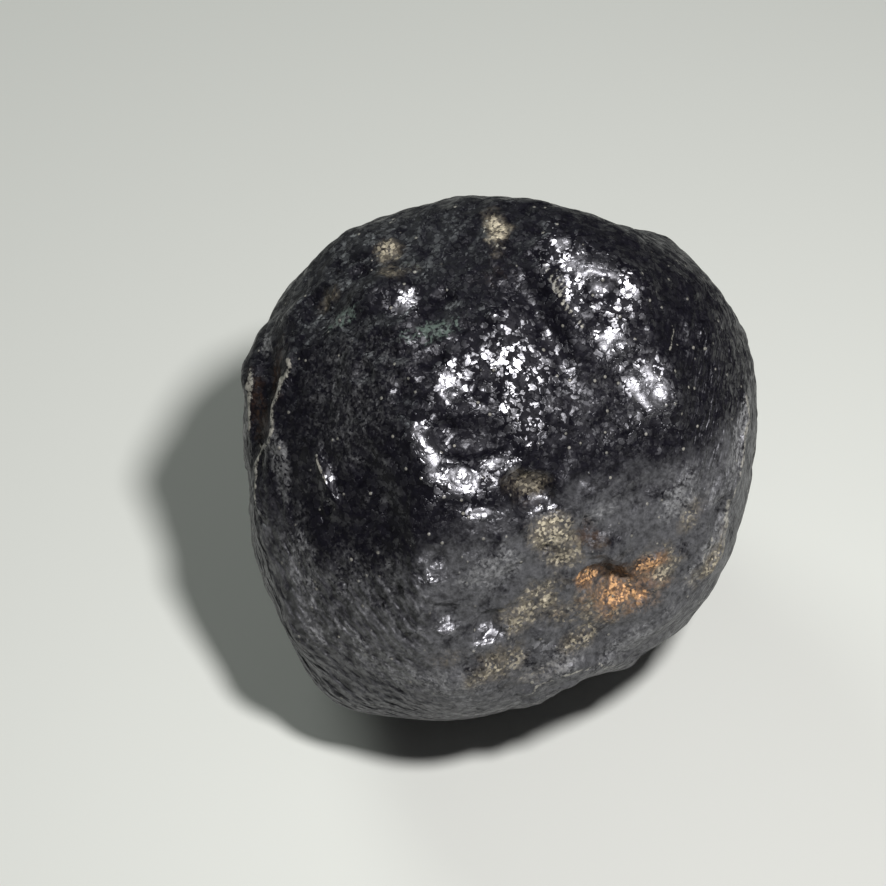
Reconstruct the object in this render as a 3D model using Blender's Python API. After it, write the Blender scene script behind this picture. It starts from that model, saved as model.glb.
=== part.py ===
"""A nodule of native silver under a black, pitchy tarnish: one naturally formed solid.

Units are metres, Z is up, and the origin is on the ground under the middle of the nodule's box.

The form is a set of blunt faces that blend into each other, cut flat underneath where it rests.
Swells, hollows, bowls, ridges and ledges are then raised on it or sunk into it. The show side leans
back from the front, so places on it are given as millimetres to the right of the nodule's middle and
millimetres above it, as someone looking down at that side reads them. Places on the hidden side are
given as a compass angle round the nodule and a height angle.
"""

import math

import bmesh
import bpy
import numpy as np

MM = 0.001

# Whole form
SEGMENTS = 28  # along each edge of the cube that the nodule is rounded from
BLEND = 16.0  # how tightly the blunt faces meet: higher is sharper
REST_DROP = 20.5 * MM  # from the middle down to the flat patch it rests on
SHOW_LEAN = math.radians(50)  # height angle of the direction that the show side faces
READING_DISTANCE = 270 * MM  # how far from the middle the show side's places are read
NEAREST_READ = 0.75 * READING_DISTANCE  # no point of the surface is nearer to the reader
READING_STEPS = 40  # halvings in the search for the surface along a line of sight
GROUND_SNAP = 0.001 * MM  # points this close to the ground are put on it

# Directions on the show side: to the right, up along it, and out towards whoever looks at it
RIGHT = np.array((1.0, 0.0, 0.0))
UP = np.array((0.0, math.sin(SHOW_LEAN), math.cos(SHOW_LEAN)))
OUT = np.array((0.0, -math.cos(SHOW_LEAN), math.sin(SHOW_LEAN)))

# Blunt faces: clock angle on the show side (0 is right, 90 is up), turn out from its rim, and
# distance from the middle in millimetres
RIM_FACES = (
    (0, 0, 24.7),
    (25, 0, 26.0),
    (48, 0, 27.2),
    (75, 0, 23.9),
    (104, 0, 25.2),
    (130, 0, 26.3),
    (157, 0, 26.2),
    (185, 0, 23.8),
    (210, 0, 25.6),
    (234, 0, 30.4),
    (264, 0, 24.9),
    (296, 0, 20.8),
    (325, 0, 23.8),
    (345, 0, 23.4),
)
SHOW_FACES = (
    (50, 80, 22.3),
    (112, 53, 24.0),
    (62, 70, 23.6),
    (345, 62, 21.6),
    (307, 53, 20.3),
    (176, 47, 23.4),
    (205, 55, 22.8),
    (2, 43, 24.6),
    (0, 22, 24.8),
    (345, 30, 25.0),
    (250, 34, 25.6),
    (225, 30, 26.6),
    (325, 20, 25.4),
    (140, 36, 26.0),
    (45, 34, 26.7),
)
# Blunt faces of the hidden side: compass angle (0 is right, 90 is the back), height angle, and
# distance from the middle in millimetres
HIDDEN_FACES = (
    (0, -90, 22.4),
    (90, 0, 25.8),
    (58, -12, 25.8),
    (122, -12, 25.8),
    (160, -22, 24.8),
    (24, -26, 24.4),
    (205, -48, 26.6),
    (353, -54, 23.4),
    (90, -42, 24.4),
    (270, -68, 23.6),
    (325, -66, 23.0),
    (30, -64, 23.0),
    (150, -64, 23.4),
    (215, -68, 23.6),
)

# Swells and hollows on the show side: right, above, half length, half width, clock angle of the
# length, and height (below zero is a hollow), in millimetres and degrees
SWELLS = (
    (10.4, 16.0, 9.6, 5.2, 125, 1.5),  # the big lobe at the upper right
    (15.0, 7.0, 4.6, 2.6, 125, 1.1),  # its lower shoulder
    (-0.8, 13.2, 2.6, 2.2, 0, 0.6),  # small knob in the middle of the top
    (-12.2, 15.4, 4.2, 3.2, 50, 1.3),  # knob at the upper left
    (-13.0, 19.5, 4.0, 2.4, 35, 0.5),
    (-0.4, 18.8, 3.2, 1.8, 0, 0.3),
    (2.6, 6.2, 6.0, 3.2, 115, 0.6),  # pebbly swelling in the middle
    (-4.2, 5.7, 2.2, 2.0, 0, 0.45),
    (10.0, -7.6, 6.0, 2.6, 35, 0.4),  # smooth brow over the rusty hollow
    (14.0, -14.5, 5.5, 2.6, 35, 0.8),  # lobe under the rusty hollow
    (-2.5, -20.5, 6.0, 3.4, 350, 0.6),  # big smooth lobe at the foot
    (6.5, -18.5, 4.5, 2.4, 25, 0.6),
    (-15.0, -21.5, 8.0, 7.0, 320, 1.0),
    (-16.5, -9.0, 4.5, 3.5, 300, 0.5),
    (-18.5, -16.0, 5.0, 4.0, 300, 1.0),
    (20.5, 1.0, 6.0, 2.2, 100, 0.5),
    (-23.4, 7.4, 3.6, 2.6, 100, 0.7),  # horn on the left outline
    (0.5, -6.6, 4.0, 2.2, 30, 0.4),
)
HOLLOWS = (
    (-1.6, 6.3, 2.2, 1.4, 80, -0.5),
    (9.0, 14.0, 2.0, 1.6, 20, -0.4),  # two dimples in the big lobe
    (11.0, 8.2, 3.4, 2.0, 130, -0.8),
    (15.2, 12.6, 3.0, 2.0, 300, -0.5),
    (-6.6, 14.6, 3.4, 2.8, 70, -1.0),
    (-17.2, 13.8, 3.4, 2.6, 40, -0.8),
    (-13.3, 17.4, 2.4, 1.8, 20, -0.5),
    (-16.6, 7.0, 4.0, 3.0, 80, -0.5),
    (-11.6, -4.4, 5.6, 3.8, 80, -0.6),  # dark dent on the left flank
    (-5.6, -9.4, 2.4, 2.0, 0, -0.5),
    (-1.6, -4.2, 2.4, 1.3, 5, -0.5),
    (-0.9, -14.8, 2.2, 1.8, 40, -0.9),
    (-4.3, -14.2, 1.9, 1.6, 0, -0.7),
    (7.6, -1.6, 2.0, 1.5, 20, -0.4),
    (8.2, -6.4, 1.6, 1.3, 0, -0.5),
    (4.7, -8.6, 1.6, 1.3, 0, -0.4),
    (13.5, -2.0, 3.6, 2.4, 35, -0.4),
    (20.6, -4.8, 3.2, 1.4, 100, -0.5),
    (2.4, 9.6, 2.4, 2.0, 60, -0.4),
    (-6.5, 8.2, 2.8, 2.2, 30, -0.4),
)

# Bowls with a steep wall and a raised rim: right, above, half length, half width, clock angle of the
# length, depth and rim height
BOWL_FLOOR = 0.25  # the flat floor's reach, as a share of the half size
BOWL_WALL = 0.7  # the wall's width, in the same way
BOWL_RIM = 1.05  # where the rim's crest is
BOWL_RIM_WIDTH = 0.2
BOWLS = (
    (-2.6, 1.8, 4.9, 3.0, 350, 0.9, 0.15),  # the thumbprint
    (2.8, -3.0, 3.2, 2.6, 350, 0.8, 0.12),  # the crater
    (10.6, -10.8, 4.4, 3.3, 340, 0.9, 0.20),  # the rusty hollow
)

# Ridges: height, half width, and the points along the crest, right and above
LINE_FADE = 2.5 * MM  # over which a ridge or a ledge rises from nothing at each end
RIDGES = (
    (0.5, 1.9, ((-19.4, 15.6), (-19.9, 9.6), (-20.1, 7.2), (-21.0, 4.2), (-21.4, 1.2), (-22.4, -5.6))),
    (-0.6, 2.1, ((-21.6, 11.0), (-22.3, 6.6), (-22.6, 2.2), (-23.0, -1.6))),
    (0.3, 3.0, ((-8.6, 0.0), (-8.0, -5.0), (-7.4, -11.0), (-7.0, -17.0))),
    (-0.7, 2.2, ((2.4, 18.0), (3.4, 14.6), (5.0, 11.0), (7.2, 7.6))),
    (0.5, 1.5, ((22.0, 8.0), (22.6, 4.0), (22.0, 0.5), (20.8, -3.6), (19.8, -7.6), (18.4, -11.6))),
    (0.4, 1.4, ((-17.4, 0.4), (-16.4, -2.0), (-15.4, -4.6))),
)

# Ledges, which step up on the left of their line: height, reach of the raised side, and the points
LEDGE_FRONT = 1.7 * MM  # width of the step itself
LEDGES = (
    (0.7, 4.0, ((13.6, -17.6), (9.4, -18.4), (6.2, -19.6), (4.0, -21.4), (1.6, -23.0))),
    (0.6, 3.0, ((18.6, -13.6), (13.4, -16.6), (9.0, -20.6), (6.0, -22.6))),
    (0.6, 3.5, ((-12.4, 10.2), (-9.4, 11.4), (-6.2, 12.6))),
    (0.8, 4.5, ((3.2, 18.4), (4.6, 15.6), (6.2, 13.0), (8.4, 10.2))),
    (0.5, 3.0, ((6.4, -11.8), (9.6, -13.6), (13.4, -13.0), (16.4, -9.6))),
)

# Hollows and swells of the hidden side: compass angle, height angle, half size and height
HIDDEN_FORMS = (
    (62, 12, 9.0, -1.0),
    (92, -12, 7.0, 1.1),
    (128, 28, 8.0, -0.9),
    (158, 2, 6.5, 1.0),
    (32, -14, 6.5, 1.0),
    (203, -30, 6.0, -0.8),
    (330, -35, 5.5, -0.6),
    (86, 38, 6.0, 0.9),
    (148, 48, 5.0, 0.8),
    (48, 34, 5.5, 0.9),
    (120, -40, 6.0, 0.8),
    (176, 26, 5.0, 0.7),
)

# Thumbprints of the hidden side: compass angle, height angle, half size, depth and rim height
HIDDEN_BOWLS = (
    (70, 18, 5.4, 1.1, 0.15),
    (112, 8, 4.8, 1.0, 0.15),
    (142, 22, 4.6, 0.9, 0.12),
    (100, 30, 4.0, 0.7, 0.10),
    (44, 6, 4.4, 0.9, 0.12),
    (172, -10, 4.6, 0.9, 0.12),
    (138, -16, 4.8, 0.9, 0.12),
    (68, -26, 4.6, 0.8, 0.10),
    (14, -18, 4.0, 0.7, 0.10),
    (26, 30, 3.8, 0.6, 0.10),
    (206, -14, 4.2, 0.7, 0.10),
    (340, -24, 3.8, 0.6, 0.10),
)

# Shallow pits and knobs scattered over the whole surface, fainter on the show side
SCATTER_SEED = 11
SCATTER_COUNT = 200
SCATTER_SIZES = (2.0 * MM, 4.2 * MM)
SCATTER_HEIGHTS = (0.15 * MM, 0.58 * MM)
KNOB_SHARE = 0.4
SHOW_SHARE = 0.27

# Tarnish
TARNISH_COLOUR = (0.030, 0.030, 0.032, 1.0)
TARNISH_ROUGHNESS = 0.32


def unit(vectors):
    """Vectors scaled to a length of one."""
    return vectors / np.linalg.norm(vectors, axis=-1, keepdims=True)


def shown(clock, turn):
    """The direction at a clock angle on the show side, turned out from its rim, in degrees."""
    clock, turn = math.radians(clock), math.radians(turn)
    rim = math.cos(clock) * RIGHT + math.sin(clock) * UP
    return math.cos(turn) * rim + math.sin(turn) * OUT


def compass(angle, height):
    """The direction at a compass angle and a height angle, in degrees."""
    angle, height = math.radians(angle), math.radians(height)
    level = math.cos(height)
    return np.array((level * math.cos(angle), level * math.sin(angle), math.sin(height)))


def block_radius(directions):
    """Distance from the middle to the blunt-faced block, along each direction."""
    total = np.zeros(directions.shape[:-1])
    faces = [(shown(clock, turn), distance) for clock, turn, distance in RIM_FACES + SHOW_FACES]
    faces += [(compass(angle, height), distance) for angle, height, distance in HIDDEN_FACES]
    for normal, distance in faces:
        facing = np.maximum(directions @ normal, 0.0)
        total += (facing / (distance * MM)) ** BLEND
    return total ** (-1.0 / BLEND)


def show_point(right, above):
    """The block's point that is read at this many millimetres right of the middle and above it."""
    eye = OUT * READING_DISTANCE
    sight = unit(right * MM * RIGHT + above * MM * UP - eye)
    near = NEAREST_READ
    far = READING_DISTANCE
    for _ in range(READING_STEPS):
        reach = (near + far) / 2
        point = eye + sight * reach
        inside = np.linalg.norm(point) < block_radius(unit(point))
        near, far = (near, reach) if inside else (reach, far)
    return point


def hidden_point(angle, height):
    """The block's point at a compass angle and a height angle."""
    direction = compass(angle, height)
    return direction * block_radius(direction)


def tangents(point, clock):
    """Two directions along the surface at a point, the first of them at a clock angle on the show side."""
    outward = unit(point)
    along = shown(clock, 0)
    along = unit(along - outward * (along @ outward))
    return along, np.cross(outward, along)


def oval_distance(points, centre, half_length, half_width, clock):
    """Distance from an oval's centre, where one is its edge."""
    along, across = tangents(centre, clock)
    offset = points - centre
    flat = np.hypot(offset @ along / half_length, offset @ across / half_width)
    depth = np.abs(offset @ unit(centre)) / (2 * half_length)
    return np.hypot(flat, depth)


def soft_spot(distance):
    """One at the middle, falling smoothly to nothing at a distance of one."""
    return 0.5 + 0.5 * np.cos(math.pi * np.minimum(distance, 1.0))


def bowl_profile(distance, rim_share):
    """A flat floor at minus one, a steep wall, and a rim that stands up round it."""
    wall = np.clip((distance - BOWL_FLOOR) / BOWL_WALL, 0.0, 1.0)
    floor = wall * wall * (3 - 2 * wall) - 1
    rim = rim_share * np.exp(-(((distance - BOWL_RIM) / BOWL_RIM_WIDTH) ** 2))
    return floor + rim


def nearest_on_line(points, line):
    """Distance of each point from a line through the given points, and on which side of it the point is."""
    best = np.full(len(points), np.inf)
    side = np.zeros(len(points))
    for start, end in zip(line, line[1:]):
        run = end - start
        share = np.clip((points - start) @ run / (run @ run), 0.0, 1.0)
        offset = points - (start + share[:, None] * run)
        distance = np.linalg.norm(offset, axis=1)
        closer = distance < best
        left = np.cross(unit(start), unit(run))
        best = np.where(closer, distance, best)
        side = np.where(closer, np.sign(offset @ left), side)
    return best, side


def end_fade(points, line):
    """One along a line, falling smoothly to nothing at its two ends."""
    fade = np.ones(len(points))
    for end in (line[0], line[-1]):
        gap = np.linalg.norm(points - end, axis=1)
        fade *= 1 - soft_spot(gap / LINE_FADE)
    return fade


def show_relief(points):
    """Height of the show side's named features above the block."""
    height = np.zeros(len(points))
    for right, above, half_length, half_width, clock, rise in SWELLS + HOLLOWS:
        centre = show_point(right, above)
        distance = oval_distance(points, centre, half_length * MM, half_width * MM, clock)
        height += rise * MM * soft_spot(distance)
    for right, above, half_length, half_width, clock, depth, rim in BOWLS:
        centre = show_point(right, above)
        distance = oval_distance(points, centre, half_length * MM, half_width * MM, clock)
        height += depth * MM * bowl_profile(distance, rim / depth)
    for rise, half_width, places in RIDGES:
        line = [show_point(*place) for place in places]
        distance, _ = nearest_on_line(points, line)
        height += rise * MM * soft_spot(distance / (half_width * MM)) * end_fade(points, line)
    for rise, reach, places in LEDGES:
        line = [show_point(*place) for place in places]
        distance, side = nearest_on_line(points, line)
        width = np.where(side > 0, reach * MM, LEDGE_FRONT)
        height += rise * MM * soft_spot(distance / width) * end_fade(points, line)
    return height


def hidden_relief(points):
    """Height of the hidden side's larger forms above the block."""
    height = np.zeros(len(points))
    for angle, lift, half_size, rise in HIDDEN_FORMS:
        centre = hidden_point(angle, lift)
        distance = np.linalg.norm(points - centre, axis=1) / (half_size * MM)
        height += rise * MM * soft_spot(distance)
    for angle, lift, half_size, depth, rim in HIDDEN_BOWLS:
        centre = hidden_point(angle, lift)
        distance = np.linalg.norm(points - centre, axis=1) / (half_size * MM)
        height += depth * MM * bowl_profile(distance, rim / depth)
    return height


def scattered_relief(points):
    """Height of the shallow pits and knobs that cover the whole surface."""
    chance = np.random.default_rng(SCATTER_SEED)
    height = np.zeros(len(points))
    for _ in range(SCATTER_COUNT):
        direction = unit(chance.normal(size=3))
        centre = direction * block_radius(direction)
        half_size = chance.uniform(*SCATTER_SIZES)
        rise = chance.uniform(*SCATTER_HEIGHTS)
        if chance.random() > KNOB_SHARE:
            rise = -rise
        if direction @ OUT > 0:
            rise *= SHOW_SHARE
        height += rise * soft_spot(np.linalg.norm(points - centre, axis=1) / half_size)
    return height


def nodule_points(directions):
    """The finished surface's points, standing on the ground with the box's middle over the origin."""
    points = directions * block_radius(directions)[:, None]
    height = show_relief(points) + hidden_relief(points) + scattered_relief(points)
    points = points + directions * height[:, None]
    below = -points[:, 2] / REST_DROP
    points = points / np.maximum(below, 1.0)[:, None]
    middle = (points.min(axis=0) + points.max(axis=0)) / 2
    points[:, :2] -= middle[:2]
    points[:, 2] = np.maximum(points[:, 2] + REST_DROP, 0.0)
    points[points[:, 2] < GROUND_SNAP, 2] = 0.0
    return points


def tarnish_material():
    """Black, pitchy silver tarnish with a low, oily gloss."""
    material = bpy.data.materials.new("tarnished_silver")
    material.use_nodes = True
    shader = material.node_tree.nodes["Principled BSDF"]
    shader.inputs["Base Color"].default_value = TARNISH_COLOUR
    shader.inputs["Metallic"].default_value = 0.0
    shader.inputs["Roughness"].default_value = TARNISH_ROUGHNESS
    return material


def make_nodule(collection):
    """A cube cut into a fine grid, whose points are moved out to the nodule's surface."""
    grid = bmesh.new()
    bmesh.ops.create_cube(grid, size=2.0)
    bmesh.ops.subdivide_edges(grid, edges=grid.edges, cuts=SEGMENTS - 1, use_grid_fill=True)
    cube = np.array([vertex.co[:] for vertex in grid.verts])
    # Equal angles across each side of the cube, so that the triangles are of nearly equal size
    directions = unit(np.tan(cube * math.pi / 4))
    for vertex, point in zip(grid.verts, nodule_points(directions)):
        vertex.co = point
    bmesh.ops.triangulate(grid, faces=grid.faces)
    bmesh.ops.recalc_face_normals(grid, faces=grid.faces)
    mesh = bpy.data.meshes.new("silver_nodule")
    grid.to_mesh(mesh)
    grid.free()
    mesh.shade_smooth()
    mesh.materials.append(tarnish_material())
    nodule = bpy.data.objects.new("silver_nodule", mesh)
    collection.objects.link(nodule)
    return nodule


def main():
    for item in list(bpy.data.objects):
        bpy.data.objects.remove(item, do_unlink=True)
    collection = bpy.data.collections.new("native_silver_specimen")
    bpy.context.scene.collection.children.link(collection)
    make_nodule(collection)


main()
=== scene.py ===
"""A nodule of native silver under a black, pitchy tarnish, dressed for a plain studio picture.

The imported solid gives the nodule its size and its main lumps. The skin that is built here follows that
solid and adds what is too fine for it: crisp hollows, creases, ledges, pebbly and leathery grain, and
the rust, clay and copper-green stains.

Units are metres and Z is up. A place on the show side is given in millimetres to the right of the
nodule's middle and above it, as the camera reads them. A place on the hidden side is given as a compass
angle round the nodule, where 0 is right and 90 is the back, and a height angle.
"""

import math

import bpy
import numpy as np
from bpy.props import FloatProperty, FloatVectorProperty, IntProperty, PointerProperty
from mathutils import Matrix, Vector, noise
from mathutils.bvhtree import BVHTree


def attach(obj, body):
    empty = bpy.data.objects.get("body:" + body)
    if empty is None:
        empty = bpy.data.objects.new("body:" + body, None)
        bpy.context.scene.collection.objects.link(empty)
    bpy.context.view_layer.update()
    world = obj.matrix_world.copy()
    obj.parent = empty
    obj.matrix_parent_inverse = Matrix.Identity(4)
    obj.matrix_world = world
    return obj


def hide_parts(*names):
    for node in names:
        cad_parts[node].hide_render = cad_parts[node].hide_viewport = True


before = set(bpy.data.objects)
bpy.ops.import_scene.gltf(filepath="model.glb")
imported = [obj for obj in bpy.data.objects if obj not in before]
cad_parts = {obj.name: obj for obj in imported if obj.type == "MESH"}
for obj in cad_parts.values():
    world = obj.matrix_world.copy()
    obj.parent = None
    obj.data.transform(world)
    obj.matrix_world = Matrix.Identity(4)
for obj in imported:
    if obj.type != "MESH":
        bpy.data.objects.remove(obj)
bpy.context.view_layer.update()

bl_info = {
    "name": "Tarnished Silver Nodule",
    "version": (1, 0, 0),
    "blender": (4, 5, 0),
    "location": "View3D > Sidebar > Specimen",
    "description": "Builds a nodule of native silver under black tarnish, and the studio it stands in",
    "category": "Add Mesh",
}

MM = 0.001
NODE = "silver_nodule"
BODY = "root"

# The camera: it looks down on the show side
VIEW_LEAN = math.radians(50)
VIEW_DISTANCE = 270 * MM
MIDDLE = Vector((0.0, 0.0, 20.5 * MM))
IMAGE_PIXELS = 886
PIXELS_PER_MM = 10.73
MIDDLE_PIXEL = (500, 455)
SENSOR_WIDTH = 36.0
RIGHT = Vector((1.0, 0.0, 0.0))
UP = Vector((0.0, math.sin(VIEW_LEAN), math.cos(VIEW_LEAN)))
OUT = Vector((0.0, -math.cos(VIEW_LEAN), math.sin(VIEW_LEAN)))
EYE = MIDDLE + OUT * VIEW_DISTANCE


def linear(code):
    """An sRGB hex colour as linear red, green, blue and alpha."""
    levels = [int(code[place:place + 2], 16) / 255 for place in (1, 3, 5)]
    return tuple(v / 12.92 if v <= 0.04045 else ((v + 0.055) / 1.055) ** 2.4 for v in levels) + (1.0,)


# Forms of the show side that are finer than the solid's. Places are right and above in millimetres, then
# half length, half width, clock angle of the length (0 is right, 90 is up) and height or depth.
LUMPS = (
    (-0.8, 13.0, 1.3, 1.0, 0, 0.30),
    (-4.2, 5.6, 1.0, 0.9, 0, 0.28),
    (8.8, 14.7, 0.9, 0.8, 0, 0.16),
    (10.7, 14.0, 0.9, 0.8, 0, 0.16),
    (6.0, 20.0, 1.5, 1.2, 40, 0.25),
    (4.6, 17.0, 1.2, 0.8, 110, 0.16),
    (9.3, 11.4, 0.8, 0.7, 0, 0.14),
    (11.0, 10.6, 1.3, 0.8, 0, 0.20),
    (12.9, 8.4, 1.1, 0.9, 125, 0.16),
    (15.0, 6.2, 2.4, 1.6, 125, 0.22),
    (3.9, -4.5, 1.0, 0.8, 0, 0.35),  # bead in the crater
    (-1.6, -5.4, 1.8, 0.6, 10, 0.25),
    (-6.0, -11.4, 1.1, 0.6, 10, 0.25),
    (-4.1, -12.2, 0.6, 0.5, 0, 0.18),
    (-4.4, -16.0, 0.9, 0.6, 20, 0.30),
    (-0.4, -16.9, 1.1, 0.6, 20, 0.32),
    (1.0, -15.8, 0.6, 0.7, 0, 0.28),
    (4.2, -16.4, 1.4, 0.8, 340, 0.30),
    (5.6, -17.6, 1.1, 0.7, 350, 0.25),
    (5.6, -6.7, 1.7, 1.1, 30, 0.35),
    (6.6, -8.8, 1.8, 1.0, 20, 0.35),
    (8.4, -12.6, 1.6, 1.0, 350, 0.35),
    (11.4, -13.2, 1.7, 0.9, 10, 0.35),
    (14.3, -11.6, 1.3, 0.9, 50, 0.35),
    (14.6, -9.2, 1.8, 1.0, 40, 0.35),
    (3.4, -12.8, 1.3, 0.9, 30, 0.25),
    (2.0, -14.6, 1.0, 0.8, 60, 0.25),
    (8.3, -16.6, 1.7, 1.1, 20, 0.30),
    (-20.4, 0.3, 0.8, 1.5, 10, 0.30),
    (-11.0, 15.0, 1.4, 1.0, 60, 0.30),
    (-9.2, 13.8, 1.4, 1.1, 30, 0.15),
    (-15.4, 12.4, 1.6, 0.6, 0, 0.20),
    (18.0, -3.6, 0.9, 1.6, 0, 0.25),
    (17.2, -6.6, 0.8, 1.3, 0, 0.22),
    (18.9, -9.6, 0.8, 1.5, 0, 0.25),
)
# Bowls: the same, with the height of the raised rim after the depth
BOWLS = (
    (-5.4, 2.2, 1.6, 1.1, 60, 0.35, 0.05),  # dark end of the thumbprint
    (-1.9, 6.1, 0.9, 1.1, 0, 0.30, 0.06),
    (8.9, 15.4, 1.9, 1.7, 20, 0.22, 0.10),
    (2.8, -2.7, 2.9, 2.3, 350, 0.45, 0.14),  # the crater
    (7.2, -2.0, 0.9, 0.8, 0, 0.20, 0.04),
    (8.1, -6.2, 0.8, 1.1, 20, 0.40, 0.05),
    (4.6, -8.4, 0.9, 0.6, 20, 0.35, 0.05),
    (11.3, -10.9, 1.5, 1.0, 350, 0.55, 0.10),  # deepest part of the rusty hollow
    (8.8, -10.4, 1.3, 0.9, 350, 0.30, 0.08),
    (-4.7, -14.6, 1.3, 1.2, 0, 0.40, 0.08),
    (-0.9, -15.2, 1.4, 1.1, 40, 0.45, 0.10),
    (-5.3, -10.0, 0.9, 1.0, 0, 0.30, 0.05),
    (-13.4, 16.7, 1.2, 1.0, 20, 0.35, 0.08),
    (-17.4, 13.9, 1.9, 1.7, 30, 0.45, 0.10),
    (-5.6, 14.4, 1.4, 1.2, 0, 0.40, 0.08),
    (-15.8, -5.1, 0.8, 0.8, 0, 0.18, 0.12),
    (-14.3, -12.3, 0.7, 0.6, 300, 0.30, 0.06),
    (-9.2, -12.6, 0.8, 0.6, 320, 0.32, 0.06),
    (-10.7, -13.7, 0.9, 0.7, 320, 0.25, 0.05),
    (20.5, -4.8, 2.6, 1.2, 82, 0.35, 0.16),
    (12.6, 12.0, 1.2, 1.0, 0, 0.25, 0.05),
    (-12.4, -0.6, 2.2, 1.6, 70, 0.35, 0.06),
    (-9.8, -6.4, 2.0, 1.5, 60, 0.35, 0.06),
    (16.6, 11.6, 1.6, 1.1, 120, 0.30, 0.06),
    (-6.4, 9.0, 1.5, 1.2, 30, 0.30, 0.06),
    (-9.4, 6.0, 1.8, 1.3, 60, 0.30, 0.06),
    (-13.0, 7.6, 1.6, 1.2, 20, 0.30, 0.06),
)
# Ridges, or creases where the height is below zero: height, half width and the line's places
RIDGES = (
    (0.35, 0.8, (
        (-19.9, 9.6), (-20.0, 7.4), (-21.0, 4.5), (-21.2, 1.5), (-22.4, -0.7), (-22.5, -3.0), (-22.5, -5.9),
    )),
    (0.30, 0.8, ((-23.3, 8.6), (-23.4, 6.4), (-23.2, 3.3), (-23.3, 0.4))),
    (0.24, 0.5, ((-17.4, 0.5), (-16.8, -1.1), (-16.2, -2.8), (-15.6, -4.2))),
    (0.20, 0.6, ((-2.1, 21.8), (-1.4, 20.5), (-0.2, 19.4), (1.1, 20.0))),
    (-0.20, 1.1, ((9.6, 9.8), (11.4, 8.4), (12.9, 6.2), (14.2, 4.6), (15.3, 3.3))),
    (0.50, 2.2, ((2.8, 18.6), (3.8, 16.4), (4.8, 14.2), (5.9, 12.1), (6.9, 10.4), (7.8, 8.8))),
    (0.25, 0.7, ((22.4, 7.2), (22.9, 3.9), (22.5, 0.6), (21.4, -3.6), (20.8, -7.8), (19.0, -11.1))),
    (0.22, 0.7, ((16.1, -0.9), (17.5, -3.0), (18.4, -5.1), (18.6, -6.8))),
    (0.20, 0.8, ((-7.6, -3.0), (-8.0, -6.4), (-7.4, -9.6), (-7.7, -11.6))),
    (0.16, 0.6, ((-20.2, -1.0), (-20.0, -4.0), (-19.4, -7.0))),
    (-0.22, 0.7, ((-13.6, 9.8), (-11.0, 9.2), (-8.4, 9.8), (-5.6, 11.4))),
    (-0.25, 0.8, ((19.0, 16.0), (18.0, 12.4), (19.4, 9.0), (19.0, 6.0))),
)
# Ledges, which step up on the left of their line: height, reach of the raised side, width of the step
LEDGES = (
    (0.45, 2.4, 0.8, ((-11.6, 11.1), (-9.8, 11.6), (-8.0, 12.4), (-6.5, 13.1))),
    (0.40, 2.4, 1.0, ((1.4, 0.7), (0.0, 0.0), (-2.3, -0.7), (-4.7, -0.3), (-6.3, 0.9), (-7.0, 2.8))),
    (0.60, 1.8, 0.7, ((7.7, -8.4), (9.3, -8.6), (10.7, -9.0), (11.8, -10.1), (12.1, -11.5))),
    (0.25, 2.0, 0.7, ((0.0, -14.9), (1.4, -13.5), (2.8, -11.6), (4.5, -10.0), (6.2, -7.5), (8.4, -4.2))),
    (0.18, 2.0, 0.8, ((-7.5, -11.4), (-2.8, -11.4), (0.0, -10.5), (3.9, -8.4))),
    (0.45, 2.0, 0.7, ((13.0, -18.1), (9.2, -18.9), (6.3, -19.5), (4.2, -20.7), (3.1, -21.8), (2.8, -22.4))),
    (0.30, 1.4, 0.7, ((8.5, -20.3), (7.1, -21.1), (5.9, -21.9))),
    (0.30, 2.4, 0.8, ((-0.3, -18.6), (-1.9, -19.9), (-4.7, -21.4), (-5.3, -22.4))),
    (0.25, 2.0, 0.8, ((22.0, -0.6), (20.6, -2.2), (19.2, -5.0), (18.8, -8.4))),
)

# Lines painted pale, whether they stand up or not: partly rubbed wear, partly painted light along crests and
# rims that catch the lamp
RUBBED = (
    ((3.4, 18.4), (4.4, 16.6), (5.7, 14.5), (7.1, 12.7), (8.2, 11.2)),
    ((4.6, 18.0), (5.4, 16.4), (6.8, 14.4)),
    ((-2.1, 21.8), (-1.4, 20.5), (-0.2, 19.4), (1.1, 20.0)),
    ((15.0, 9.6), (15.8, 11.4), (15.4, 13.4)),
    ((2.5, -22.6), (3.4, -21.7), (5.0, -20.6), (8.4, -19.4), (11.6, -18.8)),
    ((20.0, -3.6), (19.7, -7.6), (18.8, -10.0), (17.6, -12.2)),
    ((21.4, -2.8), (21.0, -6.6), (20.2, -9.6)),
    ((-22.9, 1.4), (-22.2, -0.8), (-21.4, -2.0)),
)

# Faces that lean another way than the skin round them: half length, half width and clock angle as before,
# then the clock angle they lean to and how far, in degrees
FACES = (
    (5.6, 19.6, 2.4, 2.0, 0, 300, 14),
    (7.9, 16.8, 2.6, 2.2, 0, 297, 9),
    (10.7, 13.8, 1.8, 1.7, 0, 114, 7),
    (12.1, 15.8, 2.4, 2.0, 320, 200, 10),
    (10.4, 10.7, 2.0, 1.4, 340, 135, 12),
    (14.2, 6.5, 3.2, 1.9, 310, 57, 10),
    (0.2, 12.8, 2.4, 1.4, 0, 270, 12),
    (1.7, 8.4, 3.2, 3.0, 0, 250, 10),
    (-4.7, 6.3, 1.8, 2.2, 0, 330, 12),
    (-9.1, 13.7, 2.4, 2.4, 0, 160, 12),
    (-7.0, 0.5, 2.4, 1.6, 300, 13, 12),
    (-3.7, -2.1, 2.8, 1.6, 0, 45, 12),
    (-0.5, -0.7, 2.2, 1.4, 0, 310, 16),
    (4.1, -4.2, 1.3, 1.1, 0, 90, 20),
    (-1.6, -5.4, 1.9, 0.8, 5, 95, 16),
    (-5.9, -11.6, 1.2, 0.9, 0, 66, 16),
    (-4.5, -15.9, 1.2, 0.8, 0, 95, 16),
    (-0.5, -16.9, 1.3, 0.9, 0, 105, 16),
)

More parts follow.
